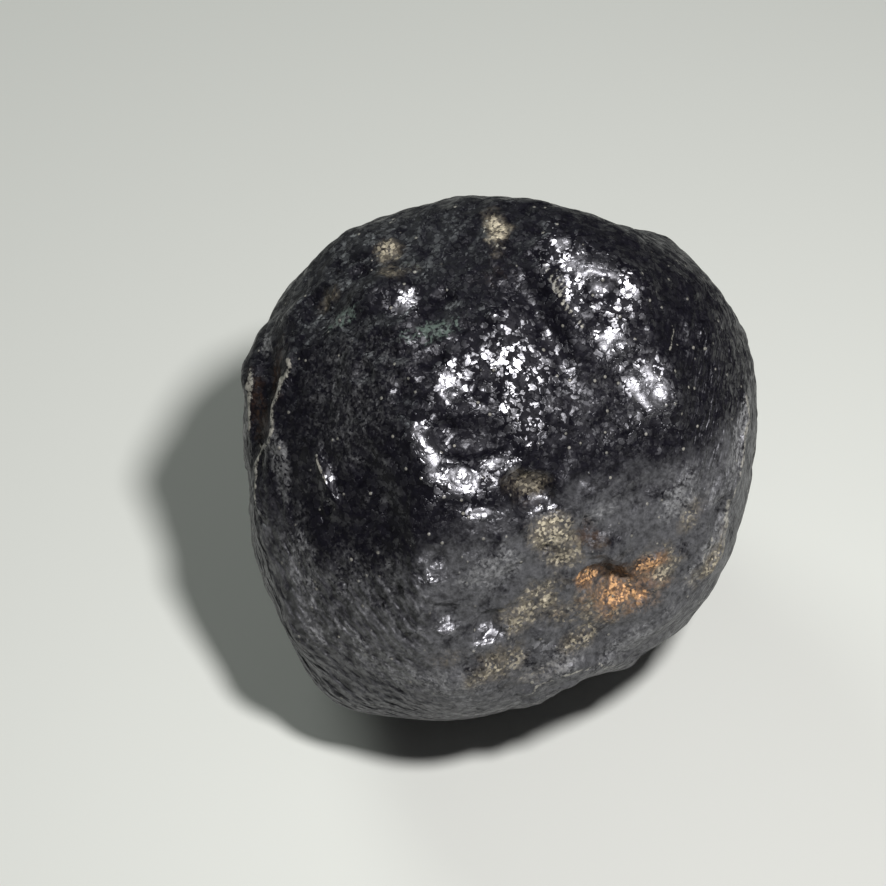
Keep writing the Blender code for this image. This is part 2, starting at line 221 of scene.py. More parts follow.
# Where the flakes lie like shingles: half length, half width and clock angle as before, then the clock angle
# they all lean to and how far, as a slope
SHINGLES = (
    (5.6, 19.6, 2.4, 1.9, 0, 287, 0.48),
    (7.9, 16.9, 2.2, 1.8, 0, 274, 0.21),
    (9.6, 14.4, 2.2, 1.6, 0, 270, 0.13),
    (12.1, 15.8, 2.2, 1.8, 0, 233, 0.27),
    (10.7, 10.7, 2.0, 1.3, 340, 78, 0.14),
    (14.2, 6.5, 3.0, 1.9, 310, 103, 0.17),
    (0.0, 12.8, 2.0, 1.4, 0, 292, 0.20),
    (1.7, 8.4, 3.0, 3.2, 0, 288, 0.10),
    (-4.7, 6.3, 1.6, 2.3, 0, 316, 0.22),
    (-7.0, 0.9, 1.8, 2.2, 0, 13, 0.18),
    (-3.7, -2.2, 2.4, 1.4, 0, 79, 0.17),
    (-9.2, 13.8, 1.3, 2.1, 0, 304, 0.53),
    (4.0, -4.3, 1.3, 1.1, 0, 334, 0.20),
    (-1.6, -5.3, 1.8, 0.8, 0, 105, 0.12),
    (-5.9, -11.6, 1.1, 0.8, 0, 76, 0.38),
    (-4.5, -15.9, 1.1, 0.8, 0, 112, 0.32),
    (-0.5, -16.9, 1.3, 0.9, 0, 115, 0.40),
    (-15.8, -2.2, 0.5, 2.4, 20, 19, 0.60),
)

# Forms of the hidden side. Places are the compass angle and the height angle.
HIDDEN_LUMPS = (
    (58, 30, 1.6, 1.2, 20, 0.30),
    (84, 6, 1.8, 1.2, 80, 0.32),
    (96, 18, 1.4, 1.0, 130, 0.30),
    (126, -2, 1.6, 1.2, 40, 0.30),
    (30, -6, 1.5, 1.1, 70, 0.28),
    (152, -20, 1.6, 1.0, 20, 0.30),
    (176, 6, 1.4, 1.0, 60, 0.28),
    (112, 40, 1.7, 1.2, 10, 0.30),
    (50, -22, 1.5, 1.0, 110, 0.28),
    (196, -2, 1.3, 1.0, 80, 0.25),
)
HIDDEN_BOWLS = (
    (70, 18, 2.6, 2.1, 30, 0.45, 0.12),
    (112, 8, 2.4, 1.9, 120, 0.45, 0.12),
    (142, 22, 2.2, 1.8, 60, 0.40, 0.12),
    (100, 30, 1.8, 1.4, 10, 0.35, 0.10),
    (44, 6, 2.2, 1.7, 80, 0.40, 0.12),
    (172, -10, 2.2, 1.8, 20, 0.40, 0.12),
    (138, -16, 2.3, 1.7, 100, 0.40, 0.12),
    (68, -26, 2.2, 1.6, 40, 0.38, 0.10),
    (14, -18, 1.8, 1.5, 0, 0.35, 0.10),
    (88, -6, 1.3, 1.1, 0, 0.30, 0.10),
    (120, 46, 1.6, 1.3, 50, 0.30, 0.08),
    (56, 44, 1.5, 1.2, 140, 0.30, 0.08),
    (206, -18, 1.7, 1.4, 70, 0.32, 0.08),
    (22, 22, 1.5, 1.2, 20, 0.30, 0.08),
)
HIDDEN_RIDGES = (
    (0.22, 0.9, ((52, -4), (60, 4), (74, 4), (84, 12), (88, 24))),
    (0.22, 0.8, ((124, 32), (132, 14), (128, -2), (118, -14), (104, -20))),
    (-0.35, 0.9, ((92, 40), (84, 30), (86, 16), (98, 4), (96, -12))),
    (-0.30, 0.8, ((160, 30), (156, 14), (160, 0), (152, -10))),
    (0.22, 0.8, ((20, 12), (28, -2), (26, -16), (36, -28))),
    (-0.28, 0.8, ((38, 24), (34, 10), (42, -6), (56, -14))),
)
HIDDEN_LEDGES = (
    (0.40, 2.6, 0.8, ((78, 36), (66, 30), (56, 18), (54, 6))),
    (0.40, 2.4, 0.8, ((106, -4), (118, -8), (130, -8), (142, -4))),
    (0.35, 2.4, 0.8, ((166, 18), (170, 6), (182, 0), (190, 6))),
    (0.35, 2.2, 0.8, ((8, -8), (16, 0), (28, 4), (36, 12))),
    (0.32, 2.2, 0.8, ((76, -18), (90, -26), (106, -28), (122, -24))),
)

RUBBED_WIDTH = 0.35 * MM
WORN_RISES = (0.23, 0.46)  # ridges between these two heights, in millimetres, are painted pale too, for wear and as painted light on their crests
FACE_REACH = 1.5  # how far a leaning face goes on beyond its oval before it has faded out
BOWL_FLOOR = 0.35  # the flat floor's reach, as a share of the half size
BOWL_WALL = 0.6  # the wall's width, in the same way
BOWL_RIM = 1.05  # where the rim's crest is
BOWL_RIM_WIDTH = 0.2
LINE_FADE = 1.5 * MM  # over which a line's form rises from nothing at each end
LINE_STEPS = 5  # short straight runs between two places of a line
WOBBLE_PITCH = 1.5 * MM  # of the noise that breaks up outlines
OVAL_WOBBLE = 0.5  # how far that noise swells an oval
LINE_WOBBLE = 0.5 * MM  # how far it pushes a line aside
SHINGLE_EDGE = (0.7, 1.5)  # distances from an oval's centre between which its shingles fade out
PATCH_EDGE = (0.2, 1.5)  # and between which a patch does

# Where the pebbled black skin gives way to the smooth grey one below, read from left to right. The grey is a
# film of dust and partly a painted reflection of the floor, and this line follows where the skin turns to
# mirror the floor.
DUST_LINE = (
    (-25.0, 1.0), (-21.0, -6.0), (-17.0, -11.5), (-10.0, -12.5), (-6.0, -8.5), (1.9, -6.0), (7.5, -2.6),
    (18.6, 0.2), (22.8, 5.6),
)
DUST_EDGE = (6.0, 5.0)  # half the width of that change at the left and at the right, in millimetres
DUST_EDGE_PLACES = (-20.0, 4.0)  # how far to the right those two are read
HIDDEN_DUST = (10 * MM, 19 * MM)  # heights between which the dust gives out on the hidden side
SHOWN_EDGE = (-0.05, 0.2)  # how squarely the skin has to face the camera to count as the show side
THIN_DUST = 0.15  # the least there is, on the black skin too
SHEET = (0.85, 1.10)  # the gloss at which flakes begin to lie flat together, and at which they all do
CLEAN_SHARE = 0.8  # of the dust that is missing where they all lie flat
LEATHER_EDGE = (-9.0, -4.0)  # where the leathery skin gives out towards the right, in millimetres
HIDDEN_LEATHER = 0.7  # how leathery the dusty skin of the hidden side is
STREAK_EDGE = (15.0, 20.0)  # where the streaks at the right begin and where they are full
MASK_LIMIT = 1.2
# How far dust, smooth patches and gloss hold down the flakes, the knobs and the lumps
DAMPING = {"pebbly": (0.8, 0.9, 0.0), "knobby": (0.8, 0.9, 0.8), "lumpy": (0.55, 0.7, 0.85)}

# Patches of the show side: right, above, half length, half width, clock angle and strength
PATCHES = {
    "glossy": (
        (8.4, 17.6, 5.4, 3.4, 312, 1.0),
        (5.4, 20.0, 1.8, 1.6, 0, 1.0),
        (10.6, 10.8, 2.2, 1.5, 340, 1.2),
        (14.2, 6.5, 3.6, 2.2, 310, 1.2),
        (1.9, 8.6, 4.6, 5.6, 0, 0.82),
        (3.4, 3.4, 3.6, 2.2, 20, 0.7),
        (-4.7, 6.3, 1.8, 2.4, 0, 1.1),
        (-7.0, 0.9, 2.8, 1.8, 300, 1.2),
        (-3.7, -2.3, 3.2, 1.8, 0, 1.2),
        (-0.4, -0.7, 2.4, 1.2, 15, 1.0),
        (-9.2, 13.8, 1.5, 2.3, 0, 1.15),
        (-1.0, 13.0, 2.0, 1.2, 0, 0.9),
        (11.0, 2.0, 3.0, 1.2, 20, 0.5),
        (4.0, -4.3, 1.5, 1.2, 0, 1.2),
        (-1.6, -5.3, 2.2, 0.8, 5, 1.0),
        (-5.9, -11.6, 1.3, 0.8, 0, 1.1),
        (-4.5, -16.0, 1.2, 0.8, 0, 1.1),
        (-0.4, -16.6, 1.5, 0.9, 20, 1.2),
        (4.4, -17.6, 1.8, 0.8, 350, 0.9),
        (-15.8, -2.2, 0.5, 2.6, 20, 0.9),
    ),
    "smooth": (
        (-1.3, 1.9, 3.6, 1.6, 10, 1.0),
        (8.6, -1.8, 4.6, 2.2, 30, 0.9),
        (-5.2, -7.4, 2.2, 1.6, 10, 0.8),
        (-0.4, -10.8, 4.6, 2.4, 30, 0.9),
        (5.2, 8.6, 5.6, 1.3, 118, 0.7),
        (13.0, -4.6, 5.0, 2.6, 30, 0.7),
    ),
    # Pale: thicker dust, and painted light: the narrow patches along the right rim and the left edge stand
    # for the light those rims catch
    "pale": (
        (-12.0, -14.0, 9.0, 7.0, 0, 0.44),
        (-22.0, 10.0, 1.1, 1.8, 0, 0.65),
        (-15.0, 12.6, 1.9, 1.0, 0, 0.7),
        (-14.0, 6.0, 8.0, 9.0, 0, 0.40),
        (12.0, 6.0, 9.0, 8.0, 0, 0.32),
        (22.2, 2.0, 1.6, 8.0, 350, 0.9),
        (20.4, -8.0, 1.8, 5.0, 335, 0.9),
        (17.0, -3.4, 2.4, 3.4, 340, 0.7),
        (12.6, -17.0, 5.0, 1.8, 40, 0.7),
        (6.0, -19.6, 5.0, 1.5, 25, 0.7),
        (-0.4, -10.6, 3.2, 1.9, 30, 0.7),
        (-20.6, -0.6, 1.5, 4.4, 5, 0.62),
        (-16.6, -17.0, 2.4, 2.0, 315, 0.7),
        (-8.0, -20.6, 10.0, 2.6, 0, 0.66),
        (-13.0, -17.6, 4.0, 1.6, 315, 0.7),
        (-18.0, -11.6, 3.0, 6.0, 20, 0.6),
        (9.0, -5.6, 3.6, 1.0, 40, 0.6),
    ),
    "rust": (
        (11.2, -12.2, 1.7, 1.1, 0, 1.0),
        (13.2, -12.5, 1.1, 1.0, 0, 0.85),
        (8.4, -10.9, 1.5, 1.1, 20, 0.75),
        (14.2, -9.8, 1.8, 1.1, 40, 0.75),
        (11.4, -12.0, 5.0, 2.6, 10, 0.45),
    ),
    "clay": (
        (4.6, -6.4, 1.6, 1.2, 20, 1.2),
        (5.2, -7.2, 2.6, 1.8, 20, 0.8),
        (6.2, -9.0, 2.6, 1.9, 350, 0.6),
        (15.2, -9.8, 2.6, 2.4, 40, 0.75),
        (10.0, -13.2, 6.4, 2.8, 5, 0.6),
        (3.4, -13.6, 3.8, 1.8, 52, 0.75),
        (8.1, -16.6, 2.8, 1.8, 30, 0.65),
        (0.2, -19.6, 3.0, 1.9, 40, 0.65),
        (-4.6, -19.0, 2.2, 1.2, 20, 0.35),
        (-10.9, 19.1, 1.4, 1.8, 0, 0.75),
        (-10.4, 17.2, 1.8, 1.6, 0, 0.5),
        (-0.8, 21.2, 1.2, 2.2, 15, 1.05),
        (20.0, -9.4, 1.2, 2.8, 335, 0.75),
        (17.8, -5.0, 1.4, 2.6, 340, 0.5),
        (2.6, -2.4, 2.4, 1.7, 0, 0.56),
        (3.9, -20.0, 4.0, 1.0, 20, 0.4),
        (-16.2, 14.2, 2.0, 1.2, 0, 0.4),
    ),
    "brown": (
        (10.8, -10.1, 2.6, 1.4, 345, 1.1),
        (8.2, -7.2, 2.0, 1.6, 330, 0.7),
        (-20.9, 7.0, 1.6, 4.0, 350, 0.6),
        (-22.3, 3.2, 1.5, 4.4, 0, 0.6),
        (2.8, -2.6, 3.0, 2.3, 350, 0.35),
        (10.0, -13.8, 5.0, 2.6, 10, 0.4),
        (-1.0, 17.0, 4.0, 2.6, 0, 0.3),
    ),
    "green": (
        (-14.9, 12.6, 2.4, 1.3, 0, 0.75),
        (-6.5, 11.6, 3.2, 1.3, 20, 0.7),
        (-9.0, 17.6, 3.0, 2.0, 0, 0.35),
    ),
}
# Patches of the hidden side, by compass angle and height angle
HIDDEN_PATCHES = {
    "glossy": (
        (64, 30, 4.6, 3.0, 30, 1.0),
        (96, 14, 3.6, 2.6, 110, 0.9),
        (128, 20, 3.4, 2.2, 60, 0.9),
        (36, 2, 3.2, 2.2, 70, 0.9),
        (156, -6, 3.0, 2.0, 20, 0.8),
        (112, 44, 3.2, 2.2, 10, 0.9),
    ),
    "smooth": ((70, 18, 2.2, 1.6, 30, 0.9), (138, -16, 2.4, 1.6, 100, 0.9), (172, -10, 2.2, 1.8, 20, 0.8)),
    "pale": ((86, -24, 6.0, 2.6, 80, 0.7), (150, -24, 5.0, 2.4, 100, 0.7), (20, -20, 5.0, 2.4, 60, 0.7)),
    "rust": ((96, -4, 1.6, 1.2, 20, 0.9), (98, -2, 3.6, 2.2, 20, 0.5), (30, -20, 1.4, 1.1, 60, 0.8)),
    "clay": (
        (112, 8, 2.6, 1.8, 120, 0.7),
        (44, 6, 2.2, 1.6, 80, 0.6),
        (150, 26, 2.6, 1.8, 60, 0.6),
        (90, -10, 4.2, 2.2, 20, 0.6),
        (66, -24, 3.2, 2.0, 40, 0.65),
        (186, -20, 2.8, 1.8, 70, 0.5),
        (350, -30, 2.6, 1.6, 0, 0.5),
    ),
    "brown": ((98, -2, 3.4, 2.4, 20, 0.9), (128, 30, 3.6, 2.2, 60, 0.6), (24, -16, 3.2, 2.2, 60, 0.7)),
    "green": ((80, 34, 3.2, 1.8, 0, 0.7), (160, 10, 3.0, 1.6, 40, 0.6)),
}

LENGTH = {"subtype": "DISTANCE", "unit": "LENGTH"}
COLOUR = {"size": 4, "subtype": "COLOR", "min": 0, "max": 1}


class SkinSettings(bpy.types.PropertyGroup):
    """Sizes of the nodule's skin."""

    edge_points: IntProperty(
        name="Edge points", description="Along an edge of the cube that becomes the skin", default=129, min=9
    )
    smoothing: IntProperty(
        name="Smoothing", description="Rounds that take the solid's facets away", default=6, min=0
    )
    lump_size: FloatProperty(
        name="Lump size", description="Pitch of the low lumps", default=3.4 * MM, **LENGTH
    )
    lump_height: FloatProperty(
        name="Lump height", description="Depth of the low lumps", default=0.36 * MM, **LENGTH
    )
    knob_size: FloatProperty(
        name="Knob size", description="Pitch of the small knobs", default=1.7 * MM, **LENGTH
    )
    knob_height: FloatProperty(
        name="Knob height", description="Depth of the small knobs", default=0.14 * MM, **LENGTH
    )
    seed: IntProperty(name="Seed", description="Picks the lumps and knobs", default=7)


class TarnishSettings(bpy.types.PropertyGroup):
    """Colours of the tarnish and its stains."""

    black: FloatVectorProperty(
        name="Black", description="The sulphide skin", default=linear("#0f0e15"), **COLOUR
    )
    dust: FloatVectorProperty(
        name="Dust and floor reflection", description="Thin grey film, partly a painted floor reflection", default=linear("#525255"), **COLOUR
    )
    pale: FloatVectorProperty(
        name="Pale dust and rim light", description="Thicker grey film, and painted light on the rims", default=linear("#8a8a8c"), **COLOUR
    )
    umber: FloatVectorProperty(
        name="Umber", description="Haze of thin rust", default=linear("#7c604a"), **COLOUR
    )
    silt: FloatVectorProperty(
        name="Silt", description="Haze of thin clay", default=linear("#665f54"), **COLOUR
    )
    brown: FloatVectorProperty(
        name="Brown", description="Thin brown film", default=linear("#37281e"), **COLOUR
    )
    green: FloatVectorProperty(
        name="Green", description="Faint copper green", default=linear("#56625c"), **COLOUR
    )
    clay: FloatVectorProperty(
        name="Clay", description="Clay in the pits", default=linear("#c2b8a2"), **COLOUR
    )
    rust: FloatVectorProperty(
        name="Rust", description="Iron rust", default=linear("#dcab7a"), **COLOUR
    )
    worn: FloatVectorProperty(
        name="Worn and painted light", description="Rubbed crests, painted light on lit crests and rims, and pale specks", default=linear("#9a978f"), **COLOUR
    )


class StudioSettings(bpy.types.PropertyGroup):
    """Floor and lights."""

    floor: FloatVectorProperty(
        name="Floor", description="The pale floor", default=linear("#e2e3df"), **COLOUR
    )
    key_power: FloatProperty(
        name="Key power", description="The lamp above, in watts", default=0.60, unit="POWER"
    )
    fill_power: FloatProperty(
        name="Fill power", description="The panel behind, in watts", default=2.0, unit="POWER"
    )
    surround: FloatProperty(
        name="Surround", description="Strength of the dim light from all sides", default=0.03, min=0
    )


def own_properties(settings):
    """The properties that a settings group declares itself."""
    return [item for item in settings.bl_rna.properties if item.identifier not in ("rna_type", "name")]


def add_node(tree, kind, inputs=None, **settings):
    """Adds a node, sets what it is told, and links or fills its inputs, which are given by name or place."""
    node = tree.nodes.new(kind)
    for name, value in settings.items():
        setattr(node, name, value)
    for key, value in (inputs or {}).items():
        socket = node.inputs[key]
        if isinstance(value, bpy.types.NodeSocket):
            tree.links.new(value, socket)
        else:
            socket.default_value = value
    return node


def unit(vectors):
    """Vectors scaled to a length of one."""
    return vectors / np.linalg.norm(vectors, axis=-1, keepdims=True)


def soft_spot(distance):
    """One at the middle, falling smoothly to nothing at a distance of one."""
    return 0.5 + 0.5 * np.cos(math.pi * np.minimum(distance, 1.0))


def step_up(value, low, high):
    """Nothing below low and one above high, with a smooth rise between."""
    share = np.clip((value - low) / (high - low), 0.0, 1.0)
    return share * share * (3 - 2 * share)


def shown_way(clock):
    """The way that a clock angle of the show side points, where 0 is right and 90 is up."""
    turn = math.radians(clock)
    return RIGHT * math.cos(turn) + UP * math.sin(turn)


def new_tree(name, sockets):
    """An empty Geometry Nodes tree with a mesh in, a mesh out, these named inputs and a material."""
    tree = bpy.data.node_groups.new(name, "GeometryNodeTree")
    tree.interface.new_socket(name="Geometry", in_out="OUTPUT", socket_type="NodeSocketGeometry")
    for label, kind in {"Geometry": "Geometry", **sockets, "Material": "Material"}.items():
        tree.interface.new_socket(name=label, in_out="INPUT", socket_type="NodeSocket" + kind)
    return tree


def finish_tree(tree, geometry, material):
    """Ends a tree: smooth shading, real meshes and the material."""
    shaded = add_node(tree, "GeometryNodeSetShadeSmooth", {"Geometry": geometry})
    real = add_node(tree, "GeometryNodeRealizeInstances", {"Geometry": shaded.outputs["Geometry"]})
    painted = add_node(
        tree, "GeometryNodeSetMaterial", {"Geometry": real.outputs["Geometry"], "Material": material}
    )
    add_node(tree, "NodeGroupOutput", {"Geometry": painted.outputs["Geometry"]})


RAY_LENGTH = 1.0  # far past the solid


def wrap_tree():
    """Wraps a cube's grid round a solid: each point goes out from the middle to the solid's surface."""
    tree = new_tree(
        "Wrap a solid", {"Solid": "Object", "Middle": "Vector", "Edge points": "Int", "Smoothing": "Int"}
    )
    given = tree.nodes.new("NodeGroupInput").outputs
    sides = {"Vertices " + axis: given["Edge points"] for axis in "XYZ"}
    cube = add_node(tree, "GeometryNodeMeshCube", {"Size": (2.0, 2.0, 2.0), **sides})
    place = add_node(tree, "GeometryNodeInputPosition").outputs[0]
    # The tangent of at most an eighth of a turn spreads the grid evenly over the ball of directions
    quarter = add_node(
        tree, "ShaderNodeVectorMath", {0: place, 1: (math.pi / 4,) * 3}, operation="MULTIPLY"
    ).outputs[0]
    even = add_node(tree, "ShaderNodeVectorMath", {0: quarter}, operation="TANGENT").outputs[0]
    direction = add_node(tree, "ShaderNodeVectorMath", {0: even}, operation="NORMALIZE").outputs[0]
    solid = add_node(
        tree, "GeometryNodeObjectInfo", {"Object": given["Solid"]}, transform_space="ORIGINAL"
    )
    hit = add_node(
        tree,
        "GeometryNodeRaycast",
        {
            "Target Geometry": solid.outputs["Geometry"],
            "Source Position": given["Middle"],
            "Ray Direction": direction,
            "Ray Length": RAY_LENGTH,
        },
    )
    wrapped = add_node(
        tree,
        "GeometryNodeSetPosition",
        {"Geometry": cube.outputs["Mesh"], "Position": hit.outputs["Hit Position"]},
    )
    smooth = add_node(
        tree,
        "GeometryNodeBlurAttribute",
        {"Iterations": given["Smoothing"]},
        data_type="FLOAT_VECTOR",
    )
    value = next(socket for socket in smooth.inputs if socket.enabled and socket.type == "VECTOR")
    tree.links.new(add_node(tree, "GeometryNodeInputPosition").outputs[0], value)
    blurred = next(socket for socket in smooth.outputs if socket.enabled)
    rounded = add_node(
        tree,
        "GeometryNodeSetPosition",
        {"Geometry": wrapped.outputs["Geometry"], "Position": blurred},
    )
    finish_tree(tree, rounded.outputs["Geometry"], given["Material"])
    return tree


LUMP_DETAIL = 1.5
LUMP_ROUGHNESS = 0.45
KNOB_SOFTNESS = 0.25  # of the valleys between knobs
KNOB_MIDDLE = 0.3  # the squared distance at which a knob neither rises nor sinks
HEIGHT_BOOST = 2.0  # because neither pattern strays much more than a quarter from its middle
BELOW_ALL = -1.0  # metres, far below any point of the skin


def relief_tree():
    """Raises low lumps and small round knobs along the normals, as strongly as the skin's attributes say."""
    tree = new_tree(
        "Knobbly relief",
        {
            "Lump size": "Float",
            "Lump height": "Float",
            "Knob size": "Float",
            "Knob height": "Float",
            "Seed": "Int",
        },
    )
    given = tree.nodes.new("NodeGroupInput").outputs
    place = add_node(tree, "GeometryNodeInputPosition").outputs[0]
    per_lump, per_knob = (
        add_node(tree, "ShaderNodeMath", {0: 1.0, 1: given[name]}, operation="DIVIDE").outputs[0]
        for name in ("Lump size", "Knob size")
    )
    lumps = add_node(
        tree,
        "ShaderNodeTexNoise",
        {
            "Vector": place,
            "W": given["Seed"],
            "Scale": per_lump,
            "Detail": LUMP_DETAIL,
            "Roughness": LUMP_ROUGHNESS,
        },
        noise_dimensions="4D",
    ).outputs[0]
    knobs = add_node(
        tree,
        "ShaderNodeTexVoronoi",
        {
            "Vector": place,
            "W": given["Seed"],
            "Scale": per_knob,
            "Smoothness": KNOB_SOFTNESS,
            "Randomness": 1.0,
        },
        voronoi_dimensions="4D",
        feature="SMOOTH_F1",
    ).outputs["Distance"]
    centred = add_node(tree, "ShaderNodeMath", {0: lumps, 1: 0.5}, operation="SUBTRACT").outputs[0]
    domed = add_node(tree, "ShaderNodeMath", {0: knobs, 1: knobs}, operation="MULTIPLY").outputs[0]
    sunk = add_node(tree, "ShaderNodeMath", {0: KNOB_MIDDLE, 1: domed}, operation="SUBTRACT").outputs[0]
    total = 0.0
    for form, height, strength in ((centred, "Lump height", "lumpy"), (sunk, "Knob height", "knobby")):
        boosted = add_node(
            tree, "ShaderNodeMath", {0: given[height], 1: HEIGHT_BOOST}, operation="MULTIPLY"
        ).outputs[0]
        rise = add_node(tree, "ShaderNodeMath", {0: form, 1: boosted}, operation="MULTIPLY").outputs[0]
        share = add_node(
            tree, "GeometryNodeInputNamedAttribute", {"Name": strength}, data_type="FLOAT"
        ).outputs[0]
        total = add_node(
            tree, "ShaderNodeMath", {0: rise, 1: share, 2: total}, operation="MULTIPLY_ADD"
        ).outputs[0]
    normal = add_node(tree, "GeometryNodeInputNormal").outputs[0]
    offset = add_node(
        tree, "ShaderNodeVectorMath", {0: normal, "Scale": total}, operation="SCALE"
    ).outputs[0]
    moved = add_node(
        tree, "GeometryNodeSetPosition", {"Geometry": given["Geometry"], "Offset": offset}
    ).outputs["Geometry"]
    # Nothing goes below the floor
    above = add_node(
        tree,
        "ShaderNodeVectorMath",
        {0: add_node(tree, "GeometryNodeInputPosition").outputs[0], 1: (BELOW_ALL, BELOW_ALL, 0.0)},
        operation="MAXIMUM",
    ).outputs[0]
    grounded = add_node(tree, "GeometryNodeSetPosition", {"Geometry": moved, "Position": above})
    finish_tree(tree, grounded.outputs["Geometry"], given["Material"])
    return tree


def evaluate(piece, tree, settings, values):
    """Runs a tree on a piece, with a group's settings and these values, and keeps the plain mesh."""
    own = {item.name: getattr(settings, item.identifier) for item in own_properties(settings)}
    values = {**own, **values}
    modifier = piece.modifiers.new(tree.name, "NODES")
    modifier.node_group = tree
    for item in tree.interface.items_tree:
        if item.item_type == "SOCKET" and item.in_out == "INPUT" and item.name in values:
            modifier[item.identifier] = values[item.name]
    scene_graph = bpy.context.evaluated_depsgraph_get()
    mesh = bpy.data.meshes.new_from_object(piece.evaluated_get(scene_graph))
    piece.modifiers.remove(modifier)
    old = piece.data
    piece.data = mesh
    bpy.data.meshes.remove(old)
    mesh.name = piece.name


def bowl_profile(distance, rim_share):
    """A flat floor at minus one, a steep wall, and a rim that stands up round it."""
    wall = step_up(distance, BOWL_FLOOR, BOWL_FLOOR + BOWL_WALL)
    return wall - 1 + rim_share * np.exp(-(((distance - BOWL_RIM) / BOWL_RIM_WIDTH) ** 2))


def smooth_curve(places):
    """Points of a smooth curve that runs through the given points."""
    ends = [2 * places[0] - places[1], *places, 2 * places[-1] - places[-2]]
    curve = []
    for a, b, c, d in zip(ends, ends[1:], ends[2:], ends[3:]):
        for step in range(LINE_STEPS):
            t = step / LINE_STEPS
            bent = (2 * a - 5 * b + 4 * c - d) * t**2 + (3 * b - a - 3 * c + d) * t**3
            curve.append((2 * b + (c - a) * t + bent) / 2)
    return [*curve, places[-1]]


class Skin:
    """The skin's points and normals while forms are raised on it or sunk into it."""

    def __init__(self, mesh):
        self.mesh = mesh
        self.read()
        # One value of smooth noise at each point, which breaks up the outlines of all the forms
        self.wobble = np.array([noise.noise(p) for p in self.points / WOBBLE_PITCH])

    def read(self):
        """Takes points and normals from the mesh."""
        count = len(self.mesh.vertices)
        points = np.empty(count * 3, np.float32)
        self.mesh.vertices.foreach_get("co", points)
        self.points = points.reshape(-1, 3).astype(float)
        normals = np.empty(count * 3, np.float32)
        self.mesh.vertex_normals.foreach_get("vector", normals)
        self.normals = normals.reshape(-1, 3).astype(float)
        faces = [polygon.vertices[:] for polygon in self.mesh.polygons]
        self.tree = BVHTree.FromPolygons([Vector(p) for p in self.points], faces)

    def raise_by(self, height):
        """Moves each point along its normal, but not below the floor, then takes the new normals."""
        moved = self.points + self.normals * height[:, None]
        moved[:, 2] = np.maximum(moved[:, 2], 0.0)
        self.mesh.vertices.foreach_set("co", moved.astype(np.float32).ravel())
        self.mesh.update()
        self.read()

    def shown(self, right, above):
        """The surface's point that the camera reads at a place on the show side."""
        sight = (MIDDLE + RIGHT * right * MM + UP * above * MM - EYE).normalized()
        hit = self.tree.ray_cast(EYE, sight)[0]
        if hit is None:
            raise RuntimeError(f"the camera sees no surface at {right}, {above} mm")
        return np.array(hit)

    def hidden(self, angle, height):
        """The surface's point at a compass angle and a height angle from the middle."""
        turn, lift = math.radians(angle), math.radians(height)
        way = Vector((math.cos(turn) * math.cos(lift), math.sin(turn) * math.cos(lift), math.sin(lift)))
        return np.array(self.tree.ray_cast(MIDDLE + way, -way)[0])

    def oval(self, centre, half_length, half_width, clock):
        """Distance of each point from an oval's centre, where one is its edge."""
        outward = unit(centre - np.array(MIDDLE))
        along = np.array(shown_way(clock))
        along = unit(along - outward * (along @ outward))
        across = np.cross(outward, along)
        offset = self.points - centre
        flat = np.hypot(offset @ along / (half_length * MM), offset @ across / (half_width * MM))
        distance = np.hypot(flat, (offset @ outward) / (2 * max(half_length, half_width) * MM))
        return distance * (1 + OVAL_WOBBLE * self.wobble)

    def beside(self, line, reach):
        """Each point's distance from a line, the side of it that the point is on, and the ends' fading."""
        best = np.full(len(self.points), 2 * reach)
        side = np.ones(len(self.points))
        middle = np.mean(line, axis=0)
        spread = max(np.linalg.norm(point - middle) for point in line) + reach
        near = np.flatnonzero(np.linalg.norm(self.points - middle, axis=1) < spread)
        points = self.points[near]
        for start, end in zip(line, line[1:]):
            run = end - start
            share = np.clip((points - start) @ run / (run @ run), 0.0, 1.0)
            offset = points - (start + share[:, None] * run)
            distance = np.linalg.norm(offset, axis=1)
            left = np.cross(unit(start - np.array(MIDDLE)), unit(run))
            closer = distance < best[near]
            best[near] = np.where(closer, distance, best[near])
            side[near] = np.where(closer, np.sign(offset @ left), side[near])
        fade = np.ones(len(self.points))
        for end in (line[0], line[-1]):
            fade *= 1 - soft_spot(np.linalg.norm(self.points - end, axis=1) / LINE_FADE)
        across = best * side + LINE_WOBBLE * self.wobble
        return np.abs(across), np.sign(across), fade

    def keep(self, name, values):
        """Stores a value or a vector for each point as an attribute that the nodes can read."""
        kind, field = ("FLOAT", "value") if values.ndim == 1 else ("FLOAT_VECTOR", "vector")
        attribute = self.mesh.attributes.new(name, kind, "POINT")
        attribute.data.foreach_set(field, values.astype(np.float32).ravel())


def raise_round_forms(skin):
    """Lumps and bowls of both sides."""
    height = np.zeros(len(skin.points))
    for find, lumps, bowls in ((skin.shown, LUMPS, BOWLS), (skin.hidden, HIDDEN_LUMPS, HIDDEN_BOWLS)):
        for across, up, *oval, rise in lumps:
            height += rise * MM * soft_spot(skin.oval(find(across, up), *oval))
        for across, up, *oval, depth, rim in bowls:
            height += depth * MM * bowl_profile(skin.oval(find(across, up), *oval), rim / depth)
    skin.raise_by(height)


def lean_faces(skin):
    """Faces that lean their own way, each a ramp that fades out towards its rim."""
    height = np.zeros(len(skin.points))
    for across, up, *oval, lean_clock, degrees in FACES:
        centre = skin.shown(across, up)
        fall = (skin.points - centre) @ np.array(shown_way(lean_clock))
        fading = soft_spot(skin.oval(centre, *oval) / FACE_REACH)
        height -= math.tan(math.radians(degrees)) * fall * fading
    skin.raise_by(height)


